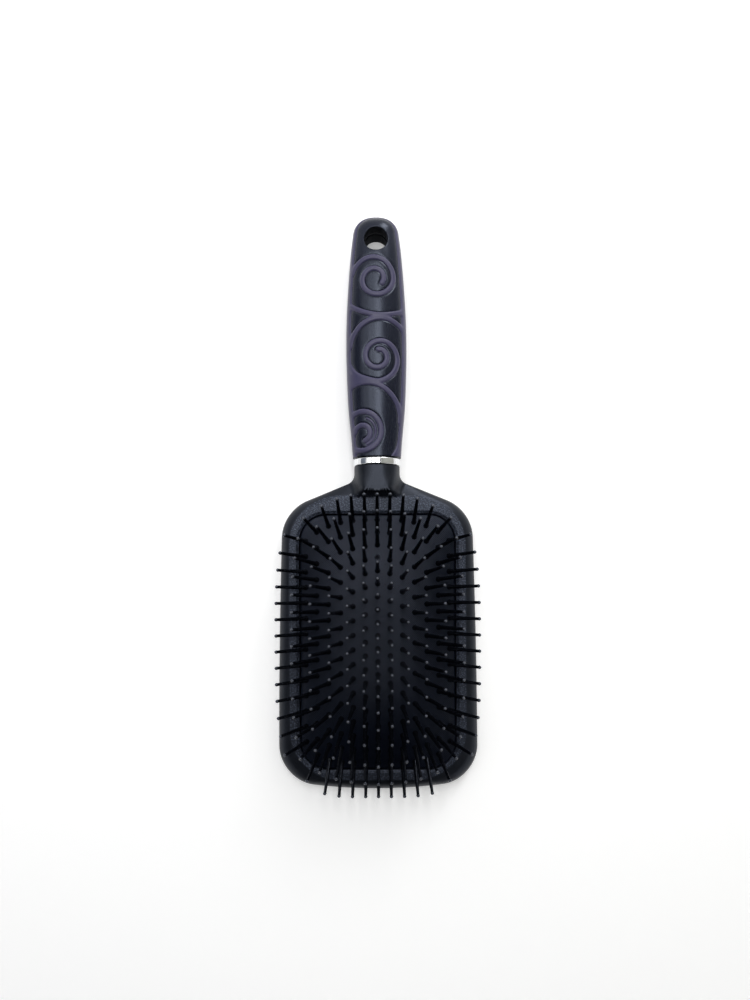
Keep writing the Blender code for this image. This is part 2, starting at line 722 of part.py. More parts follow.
def belt_slab(name, spare):
    """A slab along the handle whose height is a share of the handle's, with a spare on both faces."""
    reach = HANDLE_HALF_WIDTH + HANDLE_HALF_THICKNESS
    stations = np.concatenate(((-reach,), straight_stations()[1:], (HANDLE_LENGTH + reach,)))
    _, thickness = full_half_sizes(stations)
    rings = []
    for station, half_thickness in zip(stations, thickness):
        y = BAND_TOP_Y + station
        low = HANDLE_AXIS_HEIGHT - SIDE_BAND_HEIGHT_SHARE * half_thickness - spare
        high = HANDLE_AXIS_HEIGHT + SIDE_BAND_HEIGHT_SHARE * half_thickness + spare
        rings.append(np.array(((-reach, y, low), (reach, y, low), (reach, y, high), (-reach, y, high))))
    return ring_loft(name, rings)


def side_band(name, outset, thickness, spare, parts, cutters, material=None):
    """The belt round both sides and the free end: a skin of the handle, open at the band."""
    mesh = handle_mesh(name, outset, GAP)
    belt = add_object(name, mesh, parts, material)
    boolean(belt, add_cutter(name + "_slab", belt_slab(name + "_slab", spare), cutters), "INTERSECT")
    inside = handle_mesh(name + "_inside", -thickness, -OVERRUN)
    boolean(belt, add_cutter(name + "_inside", inside, cutters), "DIFFERENCE")
    return belt


def grip_overmould(parts, cutters, material):
    """The soft layer in one piece: the side bands with the scroll ribs of both faces joined to them."""
    grip = side_band("grip_overmould", GRIP_STANDS_PROUD, GRIP_THICKNESS, 0.0, parts, cutters, material)
    for side in (1.0, -1.0):
        for number, path in enumerate(scroll_paths()):
            name = f"rib_{'front' if side > 0 else 'back'}_{number + 1}"
            rib = ribbon(name, path, side, RIB_WIDTH / 2, GRIP_STANDS_PROUD, GRIP_THICKNESS)
            boolean(grip, add_cutter(name, rib, cutters), "UNION")
    reach = HANDLE_HALF_WIDTH + HANDLE_HALF_THICKNESS
    end_cutter = box_mesh(
        "grip_end_cutter",
        (-reach, BAND_TOP_Y - reach, HANDLE_AXIS_HEIGHT - reach),
        (reach, BAND_TOP_Y + GAP, HANDLE_AXIS_HEIGHT + reach),
    )
    boolean(grip, add_cutter("grip_end_cutter", end_cutter, cutters), "DIFFERENCE")
    return grip


def handle_core(parts, cutters, material):
    """The hard handle with grooves for the soft layer, the socket for the tang and the hanging hole."""
    mesh = handle_mesh("handle_core", 0.0, GAP)
    core = add_object("handle_core", mesh, parts, material)
    belt = side_band("side_band_seat", OVERRUN, GRIP_THICKNESS + GAP, GAP, cutters, cutters)
    belt.hide_render = True
    belt.display_type = "WIRE"
    boolean(core, belt, "DIFFERENCE")
    for side in (1.0, -1.0):
        for number, path in enumerate(scroll_paths()):
            name = f"groove_{'front' if side > 0 else 'back'}_{number + 1}"
            groove = ribbon(name, path, side, RIB_WIDTH / 2 + GAP, OVERRUN, GRIP_THICKNESS + GAP)
            boolean(core, add_cutter(name, groove, cutters), "DIFFERENCE")
    socket = elliptic_prism(
        "tang_socket",
        TANG_HALF_WIDTH + GAP,
        TANG_HALF_THICKNESS + GAP,
        BAND_TOP_Y - OVERRUN,
        BAND_TOP_Y + TANG_LENGTH + GAP,
        TANG_SIDES,
    )
    boolean(core, add_cutter("tang_socket", socket, cutters), "DIFFERENCE")
    boolean(core, add_cutter("hanging_hole", hanging_hole_mesh(), cutters), "DIFFERENCE")
    smooth(mesh)
    return core


def hanging_hole_mesh():
    shape = bmesh.new()
    depth = 2.0 * (HANDLE_HALF_THICKNESS + OVERRUN)
    bmesh.ops.create_cone(
        shape,
        cap_ends=True,
        segments=HOLE_SIDES,
        radius1=HANGING_HOLE_RADIUS,
        radius2=HANGING_HOLE_RADIUS,
        depth=depth,
    )
    place = Matrix.Translation((0.0, HOLE_Y, HANDLE_AXIS_HEIGHT))
    bmesh.ops.transform(shape, matrix=place, verts=shape.verts)
    mesh = bpy.data.meshes.new("hanging_hole")
    shape.to_mesh(mesh)
    shape.free()
    return mesh


def dome_height(x, y):
    """The cushion's outer surface: a crown that falls to its edge across and along the pad."""
    across = np.clip(np.abs(x) / OPENING_HALF_WIDTH, 0.0, 1.0)
    along = np.clip(np.abs(y - PAD_MIDDLE_Y) / PAD_HALF_LENGTH, 0.0, 1.0)
    return CUSHION_EDGE_HEIGHT + CUSHION_CROWN * (1.0 - across**CROWN_POWER_ACROSS) * (
        1.0 - along**CROWN_POWER_ALONG
    )


def dome_slopes(x, y):
    """How fast the dome falls away from its middle at a point, across and along."""
    step = SLOPE_STEP
    across = (dome_height(x - step, y) - dome_height(x + step, y)) / (2.0 * step)
    along = (dome_height(x, y - step) - dome_height(x, y + step)) / (2.0 * step)
    return across, along


def rubber_cushion(parts, cutters, material):
    """The domed membrane: a bead in the frame's groove, a rim, and a bed that carries the pin strips."""
    angles = ray_angles(opening_half_outline(0.0, CUSHION_CORNER_STEPS))

    def flat_ring(outset, height):
        return at_height(opening_at(angles, outset), height)

    def dome_ring(outset, share, drop):
        middle = (0.0, PAD_MIDDLE_Y)
        points = middle + (opening_at(angles, outset) - middle) * share
        return at_height(points, dome_height(points[:, 0], points[:, 1]) - drop)

    bed_drop = STRIP_THICKNESS + STRIP_CLEARANCE
    bead_top = FRAME_LIP_HEIGHT - LIP_THICKNESS - GAP
    bead_bottom = FRAME_LIP_HEIGHT - LIP_THICKNESS - GROOVE_HEIGHT + GAP
    inside = -CUSHION_RIM_WIDTH - GAP
    under = inside - MEMBRANE_THICKNESS
    halves = [dome_ring(under, share, bed_drop + MEMBRANE_THICKNESS) for share in UNDERSIDE_RING_SHARES]
    halves += [
        flat_ring(under, bead_bottom),
        flat_ring(GROOVE_DEPTH - GAP, bead_bottom),
        flat_ring(GROOVE_DEPTH - GAP, bead_top),
        flat_ring(-GAP, bead_top),
        flat_ring(-GAP, CUSHION_EDGE_HEIGHT),
        dome_ring(inside, 1.0, 0.0),
        dome_ring(inside, 1.0, bed_drop),
    ]
    halves += [dome_ring(inside, share, bed_drop) for share in BED_RING_SHARES]
    rings = [mirrored(half) for half in halves]
    mesh = ring_loft("rubber_cushion", rings)
    cushion = add_object("rubber_cushion", mesh, parts, material)
    boolean(cushion, add_cutter("vent", vent_mesh(), cutters), "DIFFERENCE")
    smooth(mesh)
    return cushion


def column_places(column):
    """Where the pins of a column stand; the columns are even on the flat pad and drawn in on the dome."""
    number = abs(column)
    share = number / COLUMNS_EACH_SIDE
    drawn_in = (1.0 - OUTER_COLUMN_DRAW_SHARE * share**4) / (1.0 - OUTER_COLUMN_DRAW_SHARE)
    x = math.copysign(OPENING_HALF_WIDTH - OUTER_COLUMN_MARGIN, column) * share * drawn_in
    top = PAD_HALF_LENGTH - TOP_ROW_MARGIN - COLUMN_DROP * share**TOP_DROP_POWER
    end = PAD_HALF_LENGTH - END_ROW_MARGIN - COLUMN_DROP * share**END_DROP_POWER
    y = PAD_MIDDLE_Y + np.linspace(top, -end, PINS_IN_MIDDLE_COLUMN - number)
    return np.full_like(y, x), y


def vent_place():
    x, y = column_places(0)
    return float(x[VENT_POSITION]), float(y[VENT_POSITION])


def vent_mesh():
    x, y = vent_place()
    top = float(dome_height(x, y)) + OVERRUN
    bottom = HEAD_WALL + OVERRUN
    shape = bmesh.new()
    bmesh.ops.create_cone(
        shape, cap_ends=True, segments=VENT_SIDES, radius1=VENT_RADIUS, radius2=VENT_RADIUS, depth=top - bottom
    )
    place = Matrix.Translation((x, y, (top + bottom) / 2))
    bmesh.ops.transform(shape, matrix=place, verts=shape.verts)
    mesh = bpy.data.meshes.new("vent")
    shape.to_mesh(mesh)
    shape.free()
    return mesh


def strip_inset():
    """How far the strips stay inside the opening: the cushion's rim with a gap on both sides of it."""
    return CUSHION_RIM_WIDTH + 2.0 * GAP


def strip_edges():
    """The X of every cut between two strips, from the middle outward, then the last strip's outer edge."""
    middles = [column_places(column)[0][0] for column in range(COLUMNS_EACH_SIDE + 1)]
    cuts = [(near + far) / 2 for near, far in zip(middles, middles[1:])]
    return cuts + [OPENING_HALF_WIDTH - strip_inset()]


def strip_reach(x):
    """Half the length of a strip's edge at a distance from the pad's middle line, inside the round corners."""
    radius = OPENING_CORNER_RADIUS - strip_inset()
    past = max(0.0, x - OPENING_HALF_WIDTH + OPENING_CORNER_RADIUS)
    return PAD_HALF_LENGTH - OPENING_CORNER_RADIUS + math.sqrt(max(0.0, radius**2 - past**2))


def backing_strip(name, column):
    """A slice of the cushion's skin along one column of pins."""
    edges = strip_edges()
    number = abs(column)
    near = edges[number - 1] + GAP / 2 if number else -edges[0] + GAP / 2
    far = edges[number] - (GAP / 2 if number < COLUMNS_EACH_SIDE else 0.0)
    sign = math.copysign(1.0, column) if number else 1.0
    rings = []
    reach_near = strip_reach(abs(near))
    reach_far = strip_reach(abs(far))
    steps = np.linspace(-1.0, 1.0, STRIP_STEPS + 1)
    for share in np.sign(steps) * np.abs(steps) ** STRIP_SPREAD_POWER:
        y_near = PAD_MIDDLE_Y + share * reach_near
        y_far = PAD_MIDDLE_Y + share * reach_far
        top_near = dome_height(near, y_near)
        top_far = dome_height(far, y_far)
        rings.append(
            np.array(
                (
                    (sign * near, y_near, top_near),
                    (sign * far, y_far, top_far),
                    (sign * far, y_far, top_far - STRIP_THICKNESS),
                    (sign * near, y_near, top_near - STRIP_THICKNESS),
                )
            )
        )
    return ring_loft(name, rings)


def pin_frames(column):
    """Where each pin of a column stands and which way it points: along the dome's fall, and steeper still
    towards the end of the head."""
    x, y = column_places(column)
    kept = np.ones(len(y), bool)
    kept[VENT_POSITION] = column != 0
    x, y = x[kept], y[kept]
    across, along = dome_slopes(x, y)
    to_end = np.clip((PAD_MIDDLE_Y - y) / PAD_HALF_LENGTH, 0.0, 1.0)
    along = along * PIN_SPLAY_ALONG_SHARE * (1.0 + PIN_SPLAY_AT_END_SHARE * to_end**2)
    along = np.maximum(along, -PIN_LEAN_LIMIT_SHARE)
    points = np.stack((x, y, dome_height(x, y)), 1)
    directions = np.stack((across * PIN_SPLAY_ACROSS_SHARE, along, np.ones_like(x)), 1)
    return points, directions / np.linalg.norm(directions, axis=1)[:, None]


def pins_mesh(name, column):
    """The three-sided pins of a column: a foot, a tapered shaft and a ball tip, rooted in the strip."""
    points, directions = pin_frames(column)
    turns = np.linspace(0.0, 2.0 * math.pi, PIN_SIDES + 1)[:-1]
    stages = (
        (-PIN_ROOT_DEPTH, PIN_FOOT_RADIUS),
        (PIN_FOOT_HEIGHT, PIN_SHAFT_RADIUS),
        (PIN_LENGTH - 2.0 * PIN_BALL_RADIUS, PIN_NECK_RADIUS),
        (PIN_LENGTH - PIN_BALL_RADIUS, PIN_BALL_RADIUS),
    )
    all_points = []
    faces = []
    for point, direction in zip(points, directions):
        side = np.cross((0.0, 1.0, 0.0), direction)
        side /= np.linalg.norm(side)
        other = np.cross(direction, side)
        first = len(all_points)
        for height, radius in stages:
            middle = point + direction * height
            for turn in turns:
                lean = side * math.cos(turn) + other * math.sin(turn)
                all_points.append(middle + lean * radius * PIN_CORNER_SHARE)
        tip = len(all_points)
        all_points.append(point + direction * PIN_LENGTH)
        faces.append(tuple(range(first + PIN_SIDES - 1, first - 1, -1)))
        for corner in range(PIN_SIDES):
            after = (corner + 1) % PIN_SIDES
            for low in range(first, tip - PIN_SIDES, PIN_SIDES):
                faces.append((low + corner, low + after, low + PIN_SIDES + after, low + PIN_SIDES + corner))
            faces.append((tip - PIN_SIDES + corner, tip - PIN_SIDES + after, tip))
    return mesh_from(name, all_points, faces)


def pin_column(column, parts, cutters, material):
    """One column of pins fused to its strip of the cushion's skin."""
    number = column + COLUMNS_EACH_SIDE + 1
    name = f"pin_row_{number:02d}"
    mesh = backing_strip(name, column)
    row = add_object(name, mesh, parts, material)
    boolean(row, add_cutter(name + "_pins", pins_mesh(name + "_pins", column), cutters), "UNION")
    if column == 0:
        boolean(row, bpy.data.objects["vent"], "DIFFERENCE")
    return row


def main():
    clear_scene()
    parts = collection_named("Paddle hair brush")
    cutters = collection_named("Cutters")
    satin_black = principled("Satin black plastic", (0.017, 0.019, 0.023), 0.42)
    gloss_black = principled("Gloss charcoal plastic", (0.022, 0.024, 0.030), 0.22)
    soft_purple = principled("Soft purple overmould", (0.090, 0.082, 0.140), 0.55)
    chrome = principled("Chrome", (0.78, 0.79, 0.80), 0.08, 1.0)
    rubber = principled("Black rubber", (0.010, 0.010, 0.012), 0.75)
    nylon = principled("Black nylon", (0.008, 0.008, 0.010), 0.28)
    paddle_head(parts, cutters, satin_black)
    chrome_band(parts, cutters, chrome)
    handle_core(parts, cutters, gloss_black)
    grip_overmould(parts, cutters, soft_purple)
    rubber_cushion(parts, cutters, rubber)
    for column in range(-COLUMNS_EACH_SIDE, COLUMNS_EACH_SIDE + 1):
        pin_column(column, parts, cutters, nylon)


if __name__ == "__main__":
    main()
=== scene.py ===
"""Finished surfaces of a paddle hair brush, laid over its solids.

The brush lies on its back with the pins up, its head towards -Y and its handle towards +Y, in metres. Each
piece is a surface worked out as whole arrays, with a shader of its own, and rides on the body of its solid.
"""

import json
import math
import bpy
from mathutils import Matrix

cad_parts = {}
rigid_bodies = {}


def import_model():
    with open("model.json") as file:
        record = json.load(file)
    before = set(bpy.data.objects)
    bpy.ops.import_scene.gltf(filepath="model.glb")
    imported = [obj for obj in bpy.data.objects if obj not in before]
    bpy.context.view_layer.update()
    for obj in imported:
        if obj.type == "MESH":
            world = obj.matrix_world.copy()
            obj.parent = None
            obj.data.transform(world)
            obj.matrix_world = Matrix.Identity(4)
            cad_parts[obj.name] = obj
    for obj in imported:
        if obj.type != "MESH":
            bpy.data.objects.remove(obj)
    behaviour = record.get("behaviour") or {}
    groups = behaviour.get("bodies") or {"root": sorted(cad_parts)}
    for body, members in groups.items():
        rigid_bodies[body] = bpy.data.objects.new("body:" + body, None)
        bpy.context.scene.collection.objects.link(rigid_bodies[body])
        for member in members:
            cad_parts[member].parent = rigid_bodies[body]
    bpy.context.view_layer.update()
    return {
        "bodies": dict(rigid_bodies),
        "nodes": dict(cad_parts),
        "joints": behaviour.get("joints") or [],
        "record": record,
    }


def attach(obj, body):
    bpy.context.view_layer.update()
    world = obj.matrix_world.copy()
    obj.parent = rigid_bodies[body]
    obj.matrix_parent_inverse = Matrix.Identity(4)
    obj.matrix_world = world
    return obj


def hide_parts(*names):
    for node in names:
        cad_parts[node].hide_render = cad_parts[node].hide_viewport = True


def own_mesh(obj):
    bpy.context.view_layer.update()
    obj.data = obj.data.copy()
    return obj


bl_info = {
    "name": "Paddle hair brush",
    "version": (1, 0, 0),
    "blender": (4, 5, 0),
    "location": "View3D > Sidebar > Hair brush",
    "description": "Head, cushion, pins, chrome band and two-material handle of a paddle hair brush",
    "category": "Object",
}

import bmesh
import bpy
import numpy as np
from mathutils import Vector

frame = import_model()

# Places along the brush, as its solids have them
NECK_FACE_Y = 0.0169
BAND_TOP_Y = 0.0205
HANDLE_LENGTH = 0.1050
HEAD_END_Y = -0.1255
SHOULDER_Y = -0.0017
NECK_ROOT_Y = 0.0109
HOLE_Y = 0.1143
AXIS_HEIGHT = 0.0096
GAP = 0.0003

# Head
HEAD_HALF_WIDTH = 0.0441
SHOULDER_HALF_WIDTH = 0.0422
NECK_HALF_WIDTH = 0.0100
NECK_HALF_THICKNESS = 0.0074
HEAD_END_BOW = 0.0042
HEAD_SIDE_BOW = 0.0006
NECK_FILLET_RADIUS = 0.0045
SHOULDER_RADIUS = 0.0180
HEAD_CORNER_RADIUS = 0.0150
WIDEST_HEIGHT = 0.0058
FRAME_TOP_HEIGHT = 0.0106
LIP_HEIGHT = 0.0098
LIP_SLOPE_WIDTH = 0.0013
SHOULDER_SLOPE = 0.20
SHOULDER_FALL = 0.0022
POCKET_FLOOR_HEIGHT = 0.0022
POCKET_WALL_HEIGHTS = (0.0074, 0.0050)
FRAME_ROUNDING = 0.0046
BACK_ROUNDING = 0.0052
NECK_ROUNDING = 0.0086
NECK_SLOPE_LENGTH = 0.0017
NECK_SLOPE_LOW_Y = 0.0040
NECK_HUMP_HALF_WIDTH = 0.0150
NECK_FOOT_HALF_WIDTH = 0.0108
NECK_SPREAD_LOW_Y = 0.0055
NECK_SPREAD_LENGTH = 0.0090
SPIGOT_HALF_WIDTH = 0.0087
SPIGOT_HALF_THICKNESS = 0.0061
SPIGOT_OVERLAP = 0.0020

# Strip of the frame round the opening: coarser grain, a paler tone that is partly its own finish and partly
# painted sheen, and painted glints
STRIP_HALF_WIDTH = 0.0388
STRIP_TOP_Y = 0.0044
STRIP_END_Y = -0.1206
STRIP_CORNER_RADIUS = 0.0220
STRIP_FOOT = 0.0006
STRIP_RISE = 0.0004
STRIP_BLUR = 0.0006

# Cushion opening and dome
OPENING_HALF_WIDTH = 0.0345
OPENING_TOP_Y = -0.0036
OPENING_END_Y = -0.1162
OPENING_CORNER_RADIUS = 0.0122
PAD_MIDDLE_Y = (OPENING_TOP_Y + OPENING_END_Y) / 2
PAD_HALF_LENGTH = (OPENING_TOP_Y - OPENING_END_Y) / 2
EDGE_HEIGHT = 0.0093
CROWN = 0.0070
CROWN_ACROSS_POWER = 3.0
CROWN_ALONG_POWER = 3.3
CUSHION_UNDERSIDE_HEIGHT = 0.0072
VENT_ROUNDING = 0.0003
VENT_DEPTH = 0.0030

# Pins
COLUMNS_EACH_SIDE = 6
PINS_IN_MIDDLE_COLUMN = 20
VENT_POSITION = 3
OUTER_COLUMN_X = 0.0315
COLUMN_DRAW_IN = 0.022
TOP_ROW_MARGIN = 0.0027
END_ROW_MARGIN = 0.0032
COLUMN_DROP = 0.0093
TOP_DROP_POWER = 3.0
END_DROP_POWER = 5.0
PIN_SPLAY_ACROSS = 1.75
PIN_SPLAY_ALONG = 1.80
PIN_SPLAY_AT_END = 0.95
PIN_LEAN_LIMIT = 0.86
PIN_LENGTH = 0.0178
SHAFT_END_SHARE = 0.68
PIN_SIDES = 8
PIN_LEVELS = 7

# Band and handle: half-width and half-thickness from the band to the free end, as shares of the largest
BAND_HALF_WIDTH = 0.0103
BAND_HALF_THICKNESS = 0.0077
HANDLE_HALF_WIDTH = 0.0130
HANDLE_HALF_THICKNESS = 0.0090
SECTION_POWER = 2.2
END_ROUNDING = 0.0072
END_POWER = 2.5
HOLE_RADIUS = 0.0051
SIDE_BAND_SHARE = 0.545
STATION_SHARES = (0.0, 0.08, 0.20, 0.33, 0.45, 0.58, 0.70, 0.80, 0.88, 0.94, 1.0)
WIDTH_SHARES = (0.794, 0.842, 0.933, 0.982, 1.0, 0.984, 0.932, 0.872, 0.810, 0.748, 0.69)
THICKNESS_SHARES = (0.845, 0.88, 0.94, 0.985, 1.0, 0.985, 0.945, 0.895, 0.845, 0.79, 0.74)
BAND_WALL = 0.0013
BAND_EDGE_ROUNDING = 0.0004
BAND_CROWN = 0.00008

# Soft layer: its form on the face, and how its edge and the hard core beside it are shaped
WEB_CORNERS = ((-0.0128, 0.0572), (0.0010, 0.0527), (-0.0128, 0.0510))
CORNER_CIRCLE = (-0.0086, 0.0330)
CORNER_CIRCLE_RADIUS = 0.0192
RIB_BLEND = 0.0009
CORNER_BLEND = 0.0008
BAND_BLEND = 0.0012
RIB_EDGE_WIDTH = 0.00055
RIB_SIDE_SLOPE = 1.4
SUNK_DEPTH = 0.0009
GROOVE_DEPTH = 0.00024
GROOVE_WIDTH = 0.00045
SEAT_SLOPE = 0.8
SEAT_DEPTH = 0.0006
BORE_SHADE_BLUR = 0.0002
HOLE_BORDER = 0.0011
HOLE_BORDER_ROUNDING = 0.0002
WEAR_AND_SHEEN_INSET = 0.0003
WEAR_AND_SHEEN_WIDTH = 0.00025
SAME_POINT = 0.000001

# The cushion's weave, in radians per metre, and the tint of highlights on black plastic and rubber
WEAVE_TURNS = 7200.0
COOL_SHEEN = (0.72, 0.80, 1.0, 1.0)

# Camera: straight above the pad, as the photograph was taken, and turned a little
PHOTO_WIDTH, PHOTO_HEIGHT = 750, 1000
CAMERA_PLACE = (0.0, -0.03585, 0.3200)
CAMERA_TURN_DEGREES = -0.28
FOCAL_PIXELS = 704.4
FOOT_PIXEL = (377.55, 587.0)
SENSOR_HEIGHT = 36.0

# Studio: the floor's corners, its glow, where that grows to white and where the painted shade under the hanging
# hole begins and ends, the boards that show in gloss and chrome, and the soft lamps with place, target, size
# and radiance
FLOOR_CORNERS = ((-3.0, -3.0, -0.0002), (3.0, -3.0, -0.0002), (3.0, 3.0, -0.0002), (-3.0, 3.0, -0.0002))
FLOOR_GLOW = 0.26
FAR_FLOOR = (0.35, 0.90)
PAINTED_SHADE_ACROSS = (0.007, 0.012)
PAINTED_SHADE_ALONG = (0.009, 0.015)
SOFT_LIGHT = 0.8
STUDIO_BOARDS = (
    (
        "lamp_backing",
        "dark_card",
        ((-0.56, -0.10, 0.80), (0.20, -0.10, 0.80), (0.20, 0.56, 0.80), (-0.56, 0.56, 0.80)),
    ),
    (
        "head_end_board",
        "dark_card",
        ((-0.90, -1.30, 0.82), (0.60, -1.30, 0.82), (0.60, -0.14, 0.82), (-0.90, -0.14, 0.82)),
    ),
    (
        "far_end_board",
        "dark_card",
        ((-0.90, -1.30, 0.00), (0.60, -1.30, 0.00), (0.60, -1.30, 0.82), (-0.90, -1.30, 0.82)),
    ),
    (
        "left_board",
        "cool_card",
        ((-0.90, -0.50, 0.345), (-0.62, -0.50, 0.66), (-0.62, 0.60, 0.66), (-0.90, 0.60, 0.345)),
    ),
    (
        "right_board",
        "warm_card",
        ((0.22, -0.50, 0.80), (0.90, -0.50, 0.27), (0.90, 0.60, 0.27), (0.22, 0.60, 0.80)),
    ),
)
LAMPS = (
    ("left_lamp", (-0.405, 0.262, 0.75), (-0.405, 0.262, 0.0), (0.25, 0.576), 2.0),
    ("middle_lamp", (-0.160, 0.262, 0.75), (-0.160, 0.262, 0.0), (0.16, 0.576), 4.0),
    ("key_lamp", (0.050, 0.262, 0.75), (0.050, 0.262, 0.0), (0.14, 0.576), 9.0),
    ("window_lamp", (0.42, 0.95, 0.62), (0.015, 0.0, 0.01), (0.35, 0.50), 8.0),
)


# ---------------------------------------------------------------- curves and meshes


def smooth_step(value):
    """0 below 0, 1 above 1, and 3t^2 - 2t^3 between."""
    t = np.clip(value, 0.0, 1.0)
    return t * t * (3.0 - 2.0 * t)


def smooth_union(first, second, blend):
    """The smaller of two distances, rounded off over a blend length where they are nearly the same."""
    share = np.clip(0.5 + 0.5 * (second - first) / blend, 0.0, 1.0)
    return second + (first - second) * share - blend * share * (1.0 - share)


def unit(vectors):
    """Vectors divided by their lengths."""
    return vectors / np.linalg.norm(vectors, axis=-1, keepdims=True)


def curve_through(shares, values, at):
    """A smooth curve through the values at the shares: a cubic between each two, sloped by their neighbours."""
    shares = np.asarray(shares)
    values = np.asarray(values)
    slopes = np.gradient(values, shares)
    index = np.clip(np.searchsorted(shares, at, side="right") - 1, 0, len(shares) - 2)
    span = shares[index + 1] - shares[index]
    t = (at - shares[index]) / span
    fall = 1.0 - t
    return (
        values[index] * (1.0 + 2.0 * t) * fall * fall
        + slopes[index] * span * t * fall * fall
        + values[index + 1] * t * t * (3.0 - 2.0 * t)
        - slopes[index + 1] * span * t * t * fall
    )


def corner_arc(before, corner, after, radius, steps=24):
    """The arc of a radius that touches both legs of a corner, from the first leg to the second."""
    corner = np.asarray(corner)
    leg_in = unit(corner - before)
    leg_out = unit(after - corner)
    turn = math.acos(float(np.clip(leg_in @ leg_out, -1.0, 1.0)))
    reach = radius * math.tan(turn / 2)
    side = math.copysign(1.0, leg_in[0] * leg_out[1] - leg_in[1] * leg_out[0])
    centre = corner - leg_in * reach + side * radius * np.array((-leg_in[1], leg_in[0]))
    start = corner - leg_in * reach - centre
    angles = side * turn * np.linspace(0.0, 1.0, steps + 1)
    cosines, sines = np.cos(angles), np.sin(angles)
    return centre + np.stack((start[0] * cosines - start[1] * sines, start[0] * sines + start[1] * cosines), 1)


def rounded_line(corners, radii):
    """Straight legs through the corners, each inner corner rounded to its radius."""
    corners = [np.asarray(corner, float) for corner in corners]
    arcs = [corner_arc(*corners[i : i + 3], radius) for i, radius in enumerate(radii)]
    return np.concatenate([corners[0][None], *arcs, corners[-1][None]])


def read_evenly(path, count):
    """The path read off at even steps along its length."""
    travel = np.concatenate(((0.0,), np.cumsum(np.linalg.norm(np.diff(path, axis=0), axis=1))))
    places = np.linspace(0.0, travel[-1], count)
    return np.stack((np.interp(places, travel, path[:, 0]), np.interp(places, travel, path[:, 1])), 1)


def head_half_line():
    """The right half of the head's outline: a rounded polygon whose side and end bow out as parabolas."""
    line = rounded_line(
        (
            (0.0, NECK_FACE_Y + NECK_HALF_WIDTH),
            (NECK_HALF_WIDTH, NECK_FACE_Y + NECK_HALF_WIDTH),
            (NECK_HALF_WIDTH, NECK_ROOT_Y),
            (SHOULDER_HALF_WIDTH, SHOULDER_Y),
            (HEAD_HALF_WIDTH, HEAD_END_Y + HEAD_END_BOW),
            (0.0, HEAD_END_Y + HEAD_END_BOW),
        ),
        (NECK_HALF_WIDTH, NECK_FILLET_RADIUS, SHOULDER_RADIUS, HEAD_CORNER_RADIUS),
    )
    line = read_evenly(line, 2000)
    x, y = line.T
    side = np.clip((y - HEAD_END_Y) * (SHOULDER_Y - y), 0.0, None) / ((SHOULDER_Y - HEAD_END_Y) / 2) ** 2
    near_end = smooth_step((HEAD_END_Y + HEAD_END_BOW + HEAD_CORNER_RADIUS - y) / (0.4 * HEAD_CORNER_RADIUS))
    end = near_end * (1.0 - (x / HEAD_HALF_WIDTH) ** 2)
    return line + np.stack((HEAD_SIDE_BOW * side, -HEAD_END_BOW * end), 1)


def opening_half_line(outset=0.0):
    """The right half of the cushion opening's outline, a rounded rectangle grown by an outset."""
    top = OPENING_TOP_Y + outset
    end = OPENING_END_Y - outset
    half = OPENING_HALF_WIDTH + outset
    radius = OPENING_CORNER_RADIUS + outset
    return read_evenly(rounded_line(((0.0, top), (half, top), (half, end), (0.0, end)), (radius, radius)), 2000)


def outside_rounded_box(points, half_width, top, end, radius):
    """Signed distance to a rounded rectangle on the middle line, negative inside it."""
    middle, half_length = (top + end) / 2, (top - end) / 2
    across = np.abs(points[:, 0]) - half_width + radius
    along = np.abs(points[:, 1] - middle) - half_length + radius
    outer = np.hypot(np.maximum(across, 0.0), np.maximum(along, 0.0))
    return outer + np.minimum(np.maximum(across, along), 0.0) - radius


def where_rays_cross(line, points):
    """The places where rays from the middle of the pad through the points cross a half outline."""
    angles = np.arctan2(points[:, 1] - PAD_MIDDLE_Y, points[:, 0])
    found = np.arctan2(line[:, 1] - PAD_MIDDLE_Y, line[:, 0])
    return np.stack([np.interp(-angles, -found, column) for column in line.T], 1)


def inward(line):
    """Unit normals of a half outline that runs clockwise, pointing inside."""
    heading = np.gradient(line, axis=0)
    return unit(np.stack((heading[:, 1], -heading[:, 0]), 1))


def at_height(points, height):
    """The points' places in X and Y at a height, or each at its own."""
    return np.column_stack((points[:, :2], np.broadcast_to(height, (len(points),))))


def both_halves(half_rings):
    """Closed rings from their right halves, whose first and last points lie on the middle line."""
    rings = np.array(half_rings)
    rings[:, 0, 0] = rings[:, -1, 0] = 0.0
    return np.concatenate((rings, rings[:, -2:0:-1] * (-1.0, 1.0, 1.0)), 1)


def ring_skin(rings, closed_round=False):
    """Points and faces of rings x points x 3, joined in order: closed in itself, or over both ends to a middle
    point."""
    levels, count = rings.shape[:2]
    index = np.arange(levels * count).reshape(levels, count)
    after = np.roll(index, -1, axis=1)
    if closed_round:
        above, above_after = np.roll(index, -1, axis=0), np.roll(after, -1, axis=0)
        return rings.reshape(-1, 3), [np.stack((index, after, above_after, above), -1).reshape(-1, 4)]
    quads = np.stack((index[:-1], after[:-1], after[1:], index[1:]), -1).reshape(-1, 4)
    first = np.full(count, levels * count)
    fans = np.concatenate(
        (np.stack((first, after[0], index[0]), 1), np.stack((first + 1, index[-1], after[-1]), 1))
    )
    points = np.concatenate((rings.reshape(-1, 3), rings[:1].mean(1), rings[-1:].mean(1)))
    return points, [quads, fans]


